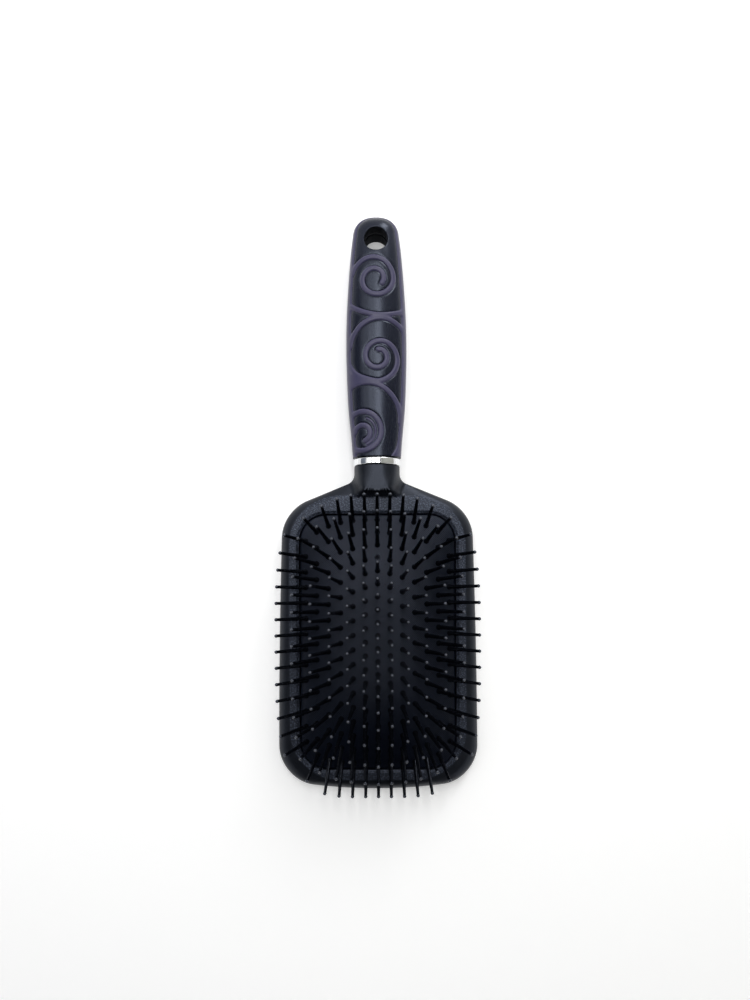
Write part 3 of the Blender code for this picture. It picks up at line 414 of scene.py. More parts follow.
def pierced(points, faces, inside, rim, walls, last=None):
    """A skin with a hole: the quads that lie inside go, the points left on the border move to the rim and a
    wall follows it down. rim gives the new places of border points, walls the rings below them, and last is
    the point that closes a blind hole."""
    quads, fans = faces
    kept = quads[~inside(points[quads].mean(1))]
    edges = np.concatenate([kept[:, (i, (i + 1) % 4)] for i in range(4)])
    fan_edges = np.concatenate([fans[:, (i, (i + 1) % 3)] for i in range(3)])
    every = np.concatenate((edges, fan_edges))
    keys = every[:, 0] * len(points) + every[:, 1]
    border = every[~np.isin(keys, every[:, 1] * len(points) + every[:, 0])]
    at = np.unique(border)
    points = points.copy()
    points[at] = rim(points[at])
    rows = np.searchsorted(at, border)
    rings = walls(points[at])
    added, strips, upper = [], [], at
    for ring in rings:
        lower = len(points) + sum(map(len, added)) + np.arange(len(at))
        added.append(ring)
        strips.append(
            np.stack((upper[rows[:, 1]], upper[rows[:, 0]], lower[rows[:, 0]], lower[rows[:, 1]]), 1)
        )
        upper = lower
    if last is not None:
        tip = np.full(len(rows), len(points) + sum(map(len, added)))
        fans = np.concatenate((fans, np.stack((upper[rows[:, 1]], upper[rows[:, 0]], tip), 1)))
        added.append(np.array([last]))
    return np.concatenate([points, *added]), [np.concatenate([kept, *strips]), fans]


def mesh_of(name, points, faces, sharp_degrees=50.0, merge=0.0):
    """A smooth mesh whose faces are turned so that the volume inside them is positive."""
    used = np.unique(np.concatenate([part.ravel() for part in faces]))
    place = np.zeros(len(points), int)
    place[used] = np.arange(len(used))
    points = points[used]
    faces = [place[part] for part in faces]
    volume = 0.0
    for part in faces:
        a = points[part[:, 0]]
        for corner in range(1, part.shape[1] - 1):
            cross = np.cross(points[part[:, corner]], points[part[:, corner + 1]])
            volume += float((a * cross).sum())
    if volume < 0.0:
        faces = [part[:, ::-1] for part in faces]
    mesh = bpy.data.meshes.new(name)
    mesh.from_pydata(points.tolist(), [], [face for part in faces for face in part.tolist()])
    if merge:
        mesh = merged(mesh, merge)
    mesh.shade_smooth()
    mesh.set_sharp_from_angle(angle=math.radians(sharp_degrees))
    return mesh


def merged(mesh, distance):
    """The mesh with points closer than a distance made one."""
    shape = bmesh.new()
    shape.from_mesh(mesh)
    bmesh.ops.remove_doubles(shape, verts=shape.verts, dist=distance)
    shape.to_mesh(mesh)
    shape.free()
    return mesh


def points_of(mesh):
    """The places of a mesh's points."""
    places = np.empty(len(mesh.vertices) * 3)
    mesh.vertices.foreach_get("co", places)
    return places.reshape(-1, 3)


def write_layer(mesh, name, values):
    """Gives a mesh an attribute with one number for each point."""
    layer = mesh.attributes.new(name, "FLOAT", "POINT")
    layer.data.foreach_set("value", values.astype(np.float32))


def add_piece(name, mesh, material, body, slot, *nodes):
    """A finished piece at the origin that rides on a body and stands for its solids."""
    piece = bpy.data.objects.new(name, mesh)
    bpy.context.scene.collection.objects.link(piece)
    mesh.materials.append(material)
    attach(piece, body)
    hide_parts(*nodes)
    return piece


# ---------------------------------------------------------------- shader maths


class Wire:
    """A shader socket with arithmetic: each operator adds its Math node."""

    def __init__(self, graph, socket):
        self.graph = graph
        self.socket = socket

    def math(self, operation, *values):
        """A Math node of an operation on wires and numbers."""
        return self.graph.node("ShaderNodeMath", {"operation": operation}, dict(enumerate(values)))

    def __add__(self, other):
        return self.math("ADD", self, other)

    def __sub__(self, other):
        return self.math("SUBTRACT", self, other)

    def __rsub__(self, other):
        return self.math("SUBTRACT", other, self)

    def __mul__(self, other):
        return self.math("MULTIPLY", self, other)

    def __pow__(self, other):
        return self.math("POWER", self, other)

    __radd__ = __add__
    __rmul__ = __mul__

    def between(self, low, high):
        """0 at low and 1 at high, with a smooth rise between."""
        settings = {"interpolation_type": "SMOOTHSTEP"}
        return self.graph.node(
            "ShaderNodeMapRange", settings, {"Value": self, "From Min": low, "From Max": high}
        )


class Graph:
    """The nodes of one material round its main shader."""

    def __init__(self, name):
        self.material = bpy.data.materials.new(name)
        self.material.use_nodes = True
        self.tree = self.material.node_tree
        self.shader = self.tree.nodes["Principled BSDF"]
        self.place = self.node("ShaderNodeTexCoord", output="Object")

    @classmethod
    def on_tree(cls, tree):
        """A graph on nodes that no material holds, as a world's."""
        graph = cls.__new__(cls)
        graph.tree = tree
        return graph

    def node(self, kind, settings=None, sockets=None, output=0):
        """A node of a kind with its settings, then its socket values or links; gives one of its outputs."""
        made = self.tree.nodes.new(kind)
        for key, value in (settings or {}).items():
            setattr(made, key, value)
        for key, value in (sockets or {}).items():
            if isinstance(value, Wire):
                self.tree.links.new(value.socket, made.inputs[key])
            else:
                made.inputs[key].default_value = value
        return Wire(self, made.outputs[output])

    def noise(self, scale, detail=3.0, roughness=0.5, stretch=(1.0, 1.0, 1.0)):
        """Cloud noise on Object coordinates, stretched by a scale on each axis; 0 to 1."""
        place = self.node("ShaderNodeMapping", None, {"Vector": self.place, "Scale": stretch})
        sockets = {"Vector": place, "Scale": scale, "Detail": detail, "Roughness": roughness}
        return self.node("ShaderNodeTexNoise", None, sockets)

    def cells(self, scale):
        """Distance to the middle of the nearest of many small cells."""
        return self.node("ShaderNodeTexVoronoi", None, {"Vector": self.place, "Scale": scale}, "Distance")

    def axis(self, name):
        """One of the Object coordinates."""
        return self.node("ShaderNodeSeparateXYZ", None, {"Vector": self.place}, name)

    def attribute(self, name):
        """One of the numbers that the mesh holds for each point."""
        return self.node("ShaderNodeAttribute", {"attribute_name": name}, None, "Fac")

    def mix(self, share, first, second):
        """A colour between two, by a share."""
        colours = [value if isinstance(value, Wire) else (*value[:3], 1.0) for value in (first, second)]
        sockets = {0: share, 6: colours[0], 7: colours[1]}
        return self.node("ShaderNodeMix", {"data_type": "RGBA"}, sockets, 2)

    def bump(self, height, strength, distance):
        """Normals bent by a height, whose 1 stands for a distance in metres."""
        sockets = {"Height": height, "Strength": strength, "Distance": distance}
        return self.node("ShaderNodeBump", None, sockets, "Normal")

    def finish(self, **inputs):
        """Sets or links the shader's own sockets, whose names have spaces for underscores."""
        for key, value in inputs.items():
            socket = self.shader.inputs[key.replace("_", " ")]
            if isinstance(value, Wire):
                self.tree.links.new(value.socket, socket)
            else:
                socket.default_value = value
        return self.material


def scaled(colour, factor):
    """A colour times a factor, no channel over 1."""
    return tuple(min(1.0, channel * factor) for channel in colour[:3])


def satin_black(colour):
    """Black moulded plastic with a fine grain, coarser on the strip round the cushion, where a paler tone is
    partly its own finish and partly painted sheen, and bright specks are painted glints.
    """
    graph = Graph("Satin black plastic")
    grain = graph.cells(1500.0)
    speckle = graph.noise(1700.0, 2.0, 0.7)
    cloud = graph.noise(60.0, 2.0)
    strip = graph.attribute("strip")
    tone = graph.mix(cloud.between(0.35, 0.65), scaled(colour, 0.9), scaled(colour, 1.12))
    # paler tone on the strip: partly its own finish, partly painted sheen
    tone = graph.mix(strip * 0.6, tone, scaled(colour, 3.6))
    # painted glints: bright specks on the strip
    painted_glints = strip * speckle.between(0.50, 0.66)
    tone = graph.mix(painted_glints, tone, scaled(colour, 15.0))
    return graph.finish(
        Base_Color=tone,
        Roughness=grain * 0.10 + cloud * 0.08 + 0.28 + strip * speckle * 0.10,
        Normal=graph.bump(grain * (1.0 - strip) + strip * speckle * 0.8, 0.25, 0.00012),
        Specular_IOR_Level=0.33,
        Specular_Tint=COOL_SHEEN,
    )


def gloss_charcoal(colour):
    """Hard gloss plastic with faint drawn streaks along the handle, and painted shade that darkens the wall of
    the hanging hole.
    """
    graph = Graph("Gloss charcoal plastic")
    streak = graph.noise(420.0, 3.0, 0.6, (1.0, 0.05, 1.0))
    cloud = graph.noise(90.0)
    painted_bore_shade = graph.attribute("painted_bore_shade")
    tone = graph.mix(streak.between(0.3, 0.7), scaled(colour, 0.88), scaled(colour, 1.14))
    # painted shade: the wall of the hanging hole is darkened
    tone = graph.mix(painted_bore_shade, tone, scaled(colour, 0.2))
    return graph.finish(
        Base_Color=tone,
        Roughness=streak * 0.06 + cloud * 0.05 + 0.21 + painted_bore_shade * 0.6,
        Normal=graph.bump(streak, 0.03, 0.00005),
        Specular_IOR_Level=0.36,
        Specular_Tint=COOL_SHEEN,
    )


def soft_purple(colour, wear_and_sheen_colour):
    """Soft rubber-like overmould, paler along the edges of its raised layer: partly wear and partly painted
    sheen.
    """
    graph = Graph("Soft purple overmould")
    grain = graph.noise(1600.0, 2.0)
    cloud = graph.noise(120.0, 3.0)
    edge = graph.attribute("edge")
    tone = graph.mix(cloud.between(0.3, 0.7) * 0.5, colour, scaled(colour, 0.84))
    # paler along the soft layer's edges: partly wear, partly painted sheen
    tone = graph.mix(edge * 0.35, tone, wear_and_sheen_colour)
    return graph.finish(
        Base_Color=tone,
        Roughness=grain * 0.10 + 0.38,
        Normal=graph.bump(grain, 0.12, 0.00006),
        Specular_IOR_Level=0.34,
        Sheen_Weight=0.32,
        Sheen_Roughness=0.30,
    )


def bright_chrome(colour):
    """Plated metal with hairline polishing marks round the band and a few dull spots."""
    graph = Graph("Chrome")
    hairline = graph.noise(900.0, 2.0, 0.5, (0.08, 1.0, 0.08))
    spots = graph.noise(260.0, 2.0)
    tone = graph.mix(spots.between(0.45, 0.75), colour, scaled(colour, 0.92))
    return graph.finish(
        Base_Color=tone,
        Metallic=1.0,
        Roughness=hairline * 0.06 + spots * 0.04 + 0.04,
        Normal=graph.bump(hairline, 0.04, 0.00005),
    )


def matt_rubber(colour):
    """Black rubber with a fine cloth-like weave, a tone that varies at random, and a painted highlight: the
    raised threads of the weave are painted paler.
    """
    graph = Graph("Black rubber")
    warp = graph.axis("X") * WEAVE_TURNS
    weft = graph.axis("Y") * WEAVE_TURNS
    weave = warp.math("SINE", warp) * weft.math("SINE", weft)
    grain = graph.noise(1300.0, 2.0)
    cloud = graph.noise(70.0, 3.0)
    tone = graph.mix(cloud.between(0.35, 0.7), scaled(colour, 0.85), scaled(colour, 1.25))
    # painted highlight: the raised threads of the weave are painted paler
    tone = graph.mix(weave.between(0.0, 0.7), tone, scaled(colour, 4.0))
    return graph.finish(
        Base_Color=tone,
        Roughness=grain * 0.12 + weave * 0.05 + 0.27,
        Normal=graph.bump(weave * 1.2 + grain, 0.30, 0.00010),
        Specular_IOR_Level=0.21,
        Specular_Tint=COOL_SHEEN,
    )


def gloss_nylon(colour, tip_highlight_colour):
    """Black nylon, glossy on the ball tips and a little duller down the shafts, with a painted highlight: the
    tops of the ball tips are painted paler.
    """
    graph = Graph("Black nylon")
    cloud = graph.noise(500.0, 2.0)
    tone = graph.mix(cloud, scaled(colour, 0.8), scaled(colour, 1.2))
    # painted highlight: the tops of the ball tips are painted paler
    tone = graph.mix(graph.attribute("tip"), tone, tip_highlight_colour)
    return graph.finish(
        Base_Color=tone,
        Roughness=cloud * 0.08 + 0.14,
        Normal=graph.bump(cloud, 0.05, 0.00005),
        Specular_IOR_Level=0.45,
        Specular_Tint=COOL_SHEEN,
    )


def matt_card(colour):
    """Plain matt card for the studio's boards."""
    return Graph("Studio card").finish(Base_Color=(*colour, 1.0), Roughness=1.0, Specular_IOR_Level=0.0)


def white_floor(colour, glow):
    """White card: it glows a little to the camera, to mirrors and through glass, and still takes the shadow.

    The glow grows to full white far from the brush, and is left out on a patch under the hanging hole:
    that darker patch is painted shade.
    """
    graph = Graph("White card")
    graph.finish(Base_Color=(*colour, 1.0), Roughness=0.9, Specular_IOR_Level=0.0)
    x, y = graph.axis("X"), graph.axis("Y")
    far = ((x * x + y * y) ** 0.5).between(*FAR_FLOOR)
    # beside and beyond are 0 on a patch under the hanging hole, where the glow is left out as painted shade
    beside = x.math("ABSOLUTE", x).between(*PAINTED_SHADE_ACROSS)
    beyond = y.math("ABSOLUTE", y - HOLE_Y).between(*PAINTED_SHADE_ALONG)
    share = x.math("MAXIMUM", beside, beyond) * glow + far * (1.0 - glow)
    glowing = graph.node("ShaderNodeEmission", None, {"Strength": seen_directly(graph) * share}, "Emission")
    card = Wire(graph, graph.shader.outputs[0])
    lit = graph.node("ShaderNodeAddShader", None, {0: card, 1: glowing})
    output = next(node for node in graph.tree.nodes if node.type == "OUTPUT_MATERIAL")
    graph.tree.links.new(lit.socket, output.inputs["Surface"])
    return graph.material


def seen_directly(graph):
    """1 for rays from the camera, from mirrors and through glass, 0 for soft light."""
    kinds = ("Camera", "Glossy", "Transmission")
    camera, glossy, through = (graph.node("ShaderNodeLightPath", output=f"Is {kind} Ray") for kind in kinds)
    return camera.math("MAXIMUM", camera.math("MAXIMUM", camera, glossy), through)


# ---------------------------------------------------------------- head and cushion


def neck_share(points):
    """1 on the neck, 0 on the flat of the head: half a smooth step and half 1 - (1 - t)^2 along, times a smooth
    step across, whose width grows from the neck's foot on."""
    rise = np.clip((points[:, 1] - NECK_SLOPE_LOW_Y) / NECK_SLOPE_LENGTH, 0.0, 1.0)
    along = 0.5 * smooth_step(rise) + 0.5 * (1.0 - (1.0 - rise) ** 2)
    spread = smooth_step((points[:, 1] - NECK_SPREAD_LOW_Y) / NECK_SPREAD_LENGTH)
    half_width = NECK_FOOT_HALF_WIDTH + (NECK_HUMP_HALF_WIDTH - NECK_FOOT_HALF_WIDTH) * spread
    across = 1.0 - smooth_step(2.0 * np.abs(points[:, 0]) / half_width - 1.0)
    return along * across


def outside_strip(points):
    """Signed distance to the speckled strip's outer edge, negative inside it."""
    return outside_rounded_box(points, STRIP_HALF_WIDTH, STRIP_TOP_Y, STRIP_END_Y, STRIP_CORNER_RADIUS)


def frame_height(points):
    """The frame's face: it rises from the lip, is flat over the strip and falls away outside it."""
    from_lip = outside_rounded_box(
        points, OPENING_HALF_WIDTH, OPENING_TOP_Y, OPENING_END_Y, OPENING_CORNER_RADIUS
    )
    rise = (FRAME_TOP_HEIGHT - LIP_HEIGHT) * np.clip(from_lip / LIP_SLOPE_WIDTH, 0.0, 1.0)
    fall = np.minimum(SHOULDER_SLOPE * np.maximum(outside_strip(points), 0.0), SHOULDER_FALL)
    return LIP_HEIGHT + rise - fall


def head_rings(lip_rounding):
    """Rings from the middle of the back round the outer edge, over the frame's slope and into the pocket.

    An edge is a quarter of an ellipse: it moves in by r (1 - cos t) along the outline's normal while it
    rises by the way to the face times sin t. The rings of the frame lie on rays to the pad's middle.
    """
    line = read_evenly(head_half_line(), 281)
    normals = inward(line)
    along_neck = smooth_step((line[:, 1] - SHOULDER_Y) / (NECK_FACE_Y - SHOULDER_Y))
    widest = WIDEST_HEIGHT + (AXIS_HEIGHT - WIDEST_HEIGHT) * along_neck
    neck_top = AXIS_HEIGHT + NECK_HALF_THICKNESS
    neck_bottom = AXIS_HEIGHT - NECK_HALF_THICKNESS

    def edge(turn, rounding, face, on_neck):
        reach = (rounding + (NECK_ROUNDING - rounding) * along_neck) * (1.0 - math.cos(turn))
        points = line + normals * reach[:, None]
        flat = face(points)
        limit = flat + (on_neck - flat) * neck_share(points)
        return at_height(points, widest + (limit - widest) * math.sin(turn))

    def back_height(points):
        return np.zeros(len(points))

    back_turns = np.linspace(math.pi / 2, 0.0, 17)
    back_edges = [edge(turn, BACK_ROUNDING, back_height, neck_bottom) for turn in back_turns]
    frame_turns = np.linspace(0.0, math.pi / 2, 21)
    frame_edges = [edge(turn, FRAME_ROUNDING, frame_height, neck_top) for turn in frame_turns]
    middle = np.array((0.0, PAD_MIDDLE_Y))
    back = []
    for share in np.linspace(0.04, 1.0, 22)[:-1]:
        points = middle + (back_edges[0][:, :2] - middle) * share
        back.append(at_height(points, neck_bottom * neck_share(points)))
    lip = where_rays_cross(opening_half_line(lip_rounding), frame_edges[-1])
    frame = []
    for share in np.linspace(1.0, 0.0, 61)[1:]:
        points = lip + (frame_edges[-1][:, :2] - lip) * share
        flat = frame_height(points)
        frame.append(at_height(points, flat + (neck_top - flat) * neck_share(points)))
    edge_line = where_rays_cross(opening_half_line(), frame_edges[-1])
    inner = []
    for turn in np.linspace(0.0, math.pi / 2, 6)[1:]:
        points = lip + (edge_line - lip) * math.sin(turn)
        inner.append(at_height(points, frame[-1][:, 2] - lip_rounding * (1.0 - math.cos(turn))))
    for height in (*POCKET_WALL_HEIGHTS, POCKET_FLOOR_HEIGHT):
        inner.append(at_height(edge_line, height))
    for share in (0.8, 0.5, 0.2):
        inner.append(at_height(middle + (edge_line - middle) * share, POCKET_FLOOR_HEIGHT))
    rings = both_halves(back + back_edges + frame_edges[1:] + frame + inner)
    rings[..., 1] = np.minimum(rings[..., 1], NECK_FACE_Y)
    return rings


def write_strip(mesh):
    """An attribute that is 1 on the frame's strip round the opening and 0 elsewhere; there the head's shader
    gives coarser grain, a paler tone that is partly painted sheen, and painted glints.
    """
    points = points_of(mesh)
    on_face = smooth_step((points[:, 2] - LIP_HEIGHT + STRIP_FOOT) / STRIP_RISE)
    inside = 1.0 - smooth_step((outside_strip(points) + STRIP_BLUR / 2) / STRIP_BLUR)
    write_layer(mesh, "strip", on_face * inside)


def oval_rod(half_width, half_thickness, start, end, count=48):
    """A closed rod of oval section along Y, on the handle's axis."""
    turns = np.linspace(0.0, 2.0 * math.pi, count + 1)[:-1]
    ring = np.stack((half_width * np.cos(turns), turns * 0.0, AXIS_HEIGHT + half_thickness * np.sin(turns)), 1)
    return np.array([ring + (0.0, y, 0.0) for y in (start, end)])


def joined(*skins):
    """Several skins as the points and faces of one mesh."""
    points, quads, fans, first = [], [], [], 0
    for part_points, part_faces in skins:
        points.append(part_points)
        quads.append(part_faces[0] + first)
        if len(part_faces) > 1:
            fans.append(part_faces[1] + first)
        first += len(part_points)
    return np.concatenate(points), [np.concatenate(quads), *([np.concatenate(fans)] if fans else [])]


def dome_height(x, y):
    """The edge height plus the crown times (1 - |x/w|^p) (1 - |y/l|^q)."""
    across = np.clip(np.abs(x) / OPENING_HALF_WIDTH, 0.0, 1.0)
    along = np.clip(np.abs(y - PAD_MIDDLE_Y) / PAD_HALF_LENGTH, 0.0, 1.0)
    return EDGE_HEIGHT + CROWN * (1.0 - across**CROWN_ACROSS_POWER) * (1.0 - along**CROWN_ALONG_POWER)


def dome_falls(x, y):
    """How fast the dome falls away from its middle, across and along."""
    step = 0.00003
    across = (dome_height(x - step, y) - dome_height(x + step, y)) / (2.0 * step)
    along = (dome_height(x, y - step) - dome_height(x, y + step)) / (2.0 * step)
    return across, along


def cushion_rings(seam, rounding):
    """Rings from the middle of the underside out to the seam and over the dome to its middle."""
    line = read_evenly(opening_half_line(-seam), 241)
    normals = inward(line)
    middle = np.array((0.0, PAD_MIDDLE_Y))

    def dome(points, drop=0.0):
        return at_height(points, dome_height(points[:, 0], points[:, 1]) - drop)

    shares = np.linspace(0.1, 1.0, 8)
    under = [at_height(middle + (line - middle) * share, CUSHION_UNDERSIDE_HEIGHT) for share in shares]
    edge = []
    for turn in np.linspace(0.0, math.pi / 2, 8):
        edge.append(dome(line + normals * rounding * (1.0 - math.cos(turn)), rounding * (1.0 - math.sin(turn))))
    inner = edge[-1][:, :2]
    top = [dome(middle + (inner - middle) * share) for share in np.linspace(1.0, 0.0, 101)[1:-1]]
    return both_halves(under + edge + top)


def vent_in(points, faces, middle, radius, rounding, depth):
    """The vent: a round hole in the dome with a rounded edge, closed at its depth."""
    centre = np.array(middle)

    def inside(centres):
        near = np.linalg.norm(centres[:, :2] - centre, axis=1) < radius + rounding
        return near & (centres[:, 2] > EDGE_HEIGHT)

    def rim(border):
        places = centre + unit(border[:, :2] - centre) * (radius + rounding)
        return at_height(places, dome_height(places[:, 0], places[:, 1]))

    def walls(border):
        away = unit(border[:, :2] - centre)
        rings = []
        for turn in np.linspace(0.0, math.pi / 2, 5)[1:]:
            reach = radius + rounding * (1.0 - math.sin(turn))
            rings.append(at_height(centre + away * reach, border[:, 2] - rounding * (1.0 - math.cos(turn))))
        rings.append(at_height(centre + away * radius, border[:, 2] - depth))
        return rings

    last = (*middle, float(dome_height(*middle)) - depth)
    return pierced(points, faces, inside, rim, walls, last)


# ---------------------------------------------------------------- pins


def column_places(column):
    """Where the pins of a column stand: outer columns are drawn in, and their ends drop by powers of their
    number's share."""
    number = abs(column)
    share = number / COLUMNS_EACH_SIDE
    drawn = (1.0 - COLUMN_DRAW_IN * share**4) / (1.0 - COLUMN_DRAW_IN)
    x = math.copysign(OUTER_COLUMN_X, column) * share * drawn
    top = PAD_HALF_LENGTH - TOP_ROW_MARGIN - COLUMN_DROP * share**TOP_DROP_POWER
    end = PAD_HALF_LENGTH - END_ROW_MARGIN - COLUMN_DROP * share**END_DROP_POWER
    y = PAD_MIDDLE_Y + np.linspace(top, -end, PINS_IN_MIDDLE_COLUMN - number)
    return np.stack((np.full_like(y, x), y), 1)


def pin_places():
    """Every pin's foot: all columns, without the middle column's place that the vent takes."""
    columns = []
    for column in range(-COLUMNS_EACH_SIDE, COLUMNS_EACH_SIDE + 1):
        places = column_places(column)
        columns.append(np.delete(places, VENT_POSITION, axis=0) if column == 0 else places)
    return np.concatenate(columns)


def pin_skins(length, ball_radius, shaft_radius, sides=PIN_SIDES):
    """All pins at once: each is a profile of radius over height, turned about a line that leans with the
    dome."""
    places = pin_places()
    across, along = dome_falls(places[:, 0], places[:, 1])
    to_end = np.clip((PAD_MIDDLE_Y - places[:, 1]) / PAD_HALF_LENGTH, 0.0, 1.0)
    splay = PIN_SPLAY_ALONG * (1.0 + PIN_SPLAY_AT_END * to_end**2)
    along = np.maximum(along * splay, -PIN_LEAN_LIMIT)
    axis = unit(np.stack((across * PIN_SPLAY_ACROSS, along, np.ones_like(across)), 1))
    side = unit(np.cross((0.0, 1.0, 0.0), axis))
    other = np.cross(axis, side)
    profile = np.array(
        (
            (-0.0008, 1.35 * shaft_radius),
            (0.0003, 1.30 * shaft_radius),
            (0.0011, shaft_radius),
            (length - 2.3 * ball_radius, SHAFT_END_SHARE * shaft_radius),
            (length - 1.65 * ball_radius, 0.80 * ball_radius),
            (length - 1.05 * ball_radius, ball_radius),
            (length - 0.35 * ball_radius, 0.75 * ball_radius),
        )
    )
    turns = np.linspace(0.0, 2.0 * math.pi, sides + 1)[:-1]
    round_it = (
        side[:, None] * np.cos(turns)[None, :, None] + other[:, None] * np.sin(turns)[None, :, None]
    )
    foot = np.column_stack((places, dome_height(places[:, 0], places[:, 1])))
    rings = (
        foot[:, None, None]
        + axis[:, None, None] * profile[None, :, 0, None, None]
        + round_it[:, None] * profile[None, :, 1, None, None]
    )
    tips = foot + axis * length
    base = foot + axis * profile[0, 0]
    count, levels = len(foot), len(profile)
    per_pin = levels * sides + 2
    index = np.arange(levels * sides).reshape(levels, sides)
    after = np.roll(index, -1, axis=1)
    quads = np.stack((index[:-1], after[:-1], after[1:], index[1:]), -1).reshape(-1, 4)
    start = np.full(sides, levels * sides)
    fans = np.concatenate(
        (np.stack((start, after[0], index[0]), 1), np.stack((start + 1, index[-1], after[-1]), 1))
    )
    shift = (np.arange(count) * per_pin)[:, None, None]
    points = np.concatenate((rings.reshape(count, -1, 3), base[:, None], tips[:, None]), 1)
    return points.reshape(-1, 3), [(quads + shift).reshape(-1, 4), (fans + shift).reshape(-1, 3)]


def write_tip_highlights(mesh, sides):
    """An attribute for the painted highlight on the pins: 1 at the top of each ball tip, a third on the ring
    below it and 0 elsewhere.
    """
    level = np.concatenate((np.repeat(np.arange(PIN_LEVELS), sides), (0, PIN_LEVELS)))
    share = np.clip((level - PIN_LEVELS + 1.5) / 1.5, 0.0, 1.0)
    write_layer(mesh, "tip", np.tile(share, len(mesh.vertices) // len(level)))


# ---------------------------------------------------------------- band and handle


def band_rings(wall, rounding, crown):
    """The band: a rounded rectangle, whose outer side is slightly crowned, carried round an oval."""
    start, end = NECK_FACE_Y + GAP, BAND_TOP_Y - GAP
    half = (end - start) / 2
    quarter = np.linspace(0.0, math.pi / 2, 6)
    arc = np.stack((np.cos(quarter), np.sin(quarter)), 1) * rounding
    corner_y = half - rounding
    run = np.linspace(corner_y, -corner_y, 9)[1:-1]
    outer_side = np.stack((np.full_like(run, rounding), run), 1)
    outer = np.concatenate((arc[::-1] + (0.0, corner_y), outer_side, arc * (1.0, -1.0) + (0.0, -corner_y)))
    outer[:, 0] += -rounding + crown * (1.0 - (outer[:, 1] / half) ** 2) * (outer[:, 0] > 0.5 * rounding)
    inner = np.array(((-wall, -half), (-wall, 0.0), (-wall, half)))
    section = np.concatenate((outer, inner))
    turns = np.linspace(0.0, 2.0 * math.pi, 161)[:-1]
    reach = section[:, 0][:, None]
    x = (BAND_HALF_WIDTH + reach) * np.cos(turns)
    z = AXIS_HEIGHT + (BAND_HALF_THICKNESS + reach) * np.sin(turns)
    y = (start + end) / 2 + np.broadcast_to(section[:, 1][:, None], x.shape)
    return np.stack((x, y, z), -1)


def full_half_sizes(along):
    """Half-width and half-thickness of the handle at a distance from the band, without its domed end."""
    share = np.clip(along / HANDLE_LENGTH, 0.0, 1.0)
    width = HANDLE_HALF_WIDTH * curve_through(STATION_SHARES, WIDTH_SHARES, share)
    thickness = HANDLE_HALF_THICKNESS * curve_through(STATION_SHARES, THICKNESS_SHARES, share)
    return width, thickness


def handle_grid(start, lengthwise=320, around=216):
    """Points and outward normals of the handle: superellipses of power 2.2 along Y, with a domed free end."""
    straight = np.linspace(start, HANDLE_LENGTH - END_ROUNDING, lengthwise - 40)[:-1]
    dome = HANDLE_LENGTH - END_ROUNDING * (1.0 - np.sin(np.linspace(0.0, 0.985, 41) * math.pi / 2))
    along = np.concatenate((straight, dome))
    width, thickness = full_half_sizes(along)
    past = np.clip((along - HANDLE_LENGTH + END_ROUNDING) / END_ROUNDING, 0.0, 1.0)
    fall = (1.0 - past**END_POWER) ** (1.0 / END_POWER)
    turns = np.linspace(0.0, 2.0 * math.pi, around + 1)[:-1]
    across = np.sign(np.cos(turns)) * np.abs(np.cos(turns)) ** (2.0 / SECTION_POWER)
    up = np.sign(np.sin(turns)) * np.abs(np.sin(turns)) ** (2.0 / SECTION_POWER)
    points = np.empty((len(along), around, 3))
    points[..., 0] = (width * fall)[:, None] * across
    points[..., 1] = BAND_TOP_Y + along[:, None]
    points[..., 2] = AXIS_HEIGHT + (thickness * fall)[:, None] * up
    lengthways = np.gradient(points, axis=0)
    roundways = np.roll(points, -1, axis=1) - np.roll(points, 1, axis=1)
    return points, unit(np.cross(lengthways, roundways))


def spiral(centre, outer, inner, start, sweep, power):
    """A spiral whose radius shrinks from outer to inner by a power of the share of its sweep, in degrees."""
    share = np.linspace(0.0, 1.0, 120)
    radius = outer * (inner / outer) ** (share**power)
    angle = np.radians(start + sweep * share)
    return np.stack((centre[0] + radius * np.cos(angle), centre[1] + radius * np.sin(angle)), 1)


def arc(centre, radius, start, sweep):
    """A spiral whose radius stays as it is."""
    return spiral(centre, radius, radius, start, sweep, 1.0)


def rib_lines():
    """Every rib's middle line on the face with its share of the full width, in X and Y."""
    return (
        (spiral((-0.00044, 0.09655), 0.01075, 0.0035, 160.0, -552.0, 1.07), 1.0),
        (spiral((0.00080, 0.06290), 0.01290, 0.0031, 196.0, 615.0, 0.90), 1.0),
        (arc((-0.0064, 0.0314), 0.0083, 127.0, -240.0), 1.05),
        (arc((-0.0064, 0.0311), 0.0059, 70.0, -140.0), 0.35),
        (arc((-0.0063, 0.0305), 0.0034, 165.0, -235.0), 1.0),
        (arc((0.00195, 0.1012), 0.02027, 230.0, 84.0), 0.95),
        (arc((0.00179, 0.0660), 0.01361, 170.0, -135.0), 1.0),
        (arc((-0.00494, 0.0367), 0.01537, 122.0, -126.0), 1.0),
    )


def distance_to_line(places, line):
    """The distance of each place from a line of short straight legs."""
    start, leg = line[:-1], np.diff(line, axis=0)
    away = places[:, None] - start[None]
    share = np.clip((away * leg).sum(-1) / (leg * leg).sum(-1), 0.0, 1.0)
    return np.sqrt(((away - share[..., None] * leg) ** 2).sum(-1).min(1))


def inside_triangle(places, corners):
    """Signed distance to a triangle whose corners run clockwise: the largest of its distances to the sides."""
    sides = []
    for start, end in zip(corners, corners[1:] + corners[:1]):
        along = unit(np.subtract(end, start))
        sides.append((places - start) @ np.array((-along[1], along[0])))
    return np.max(sides, 0)


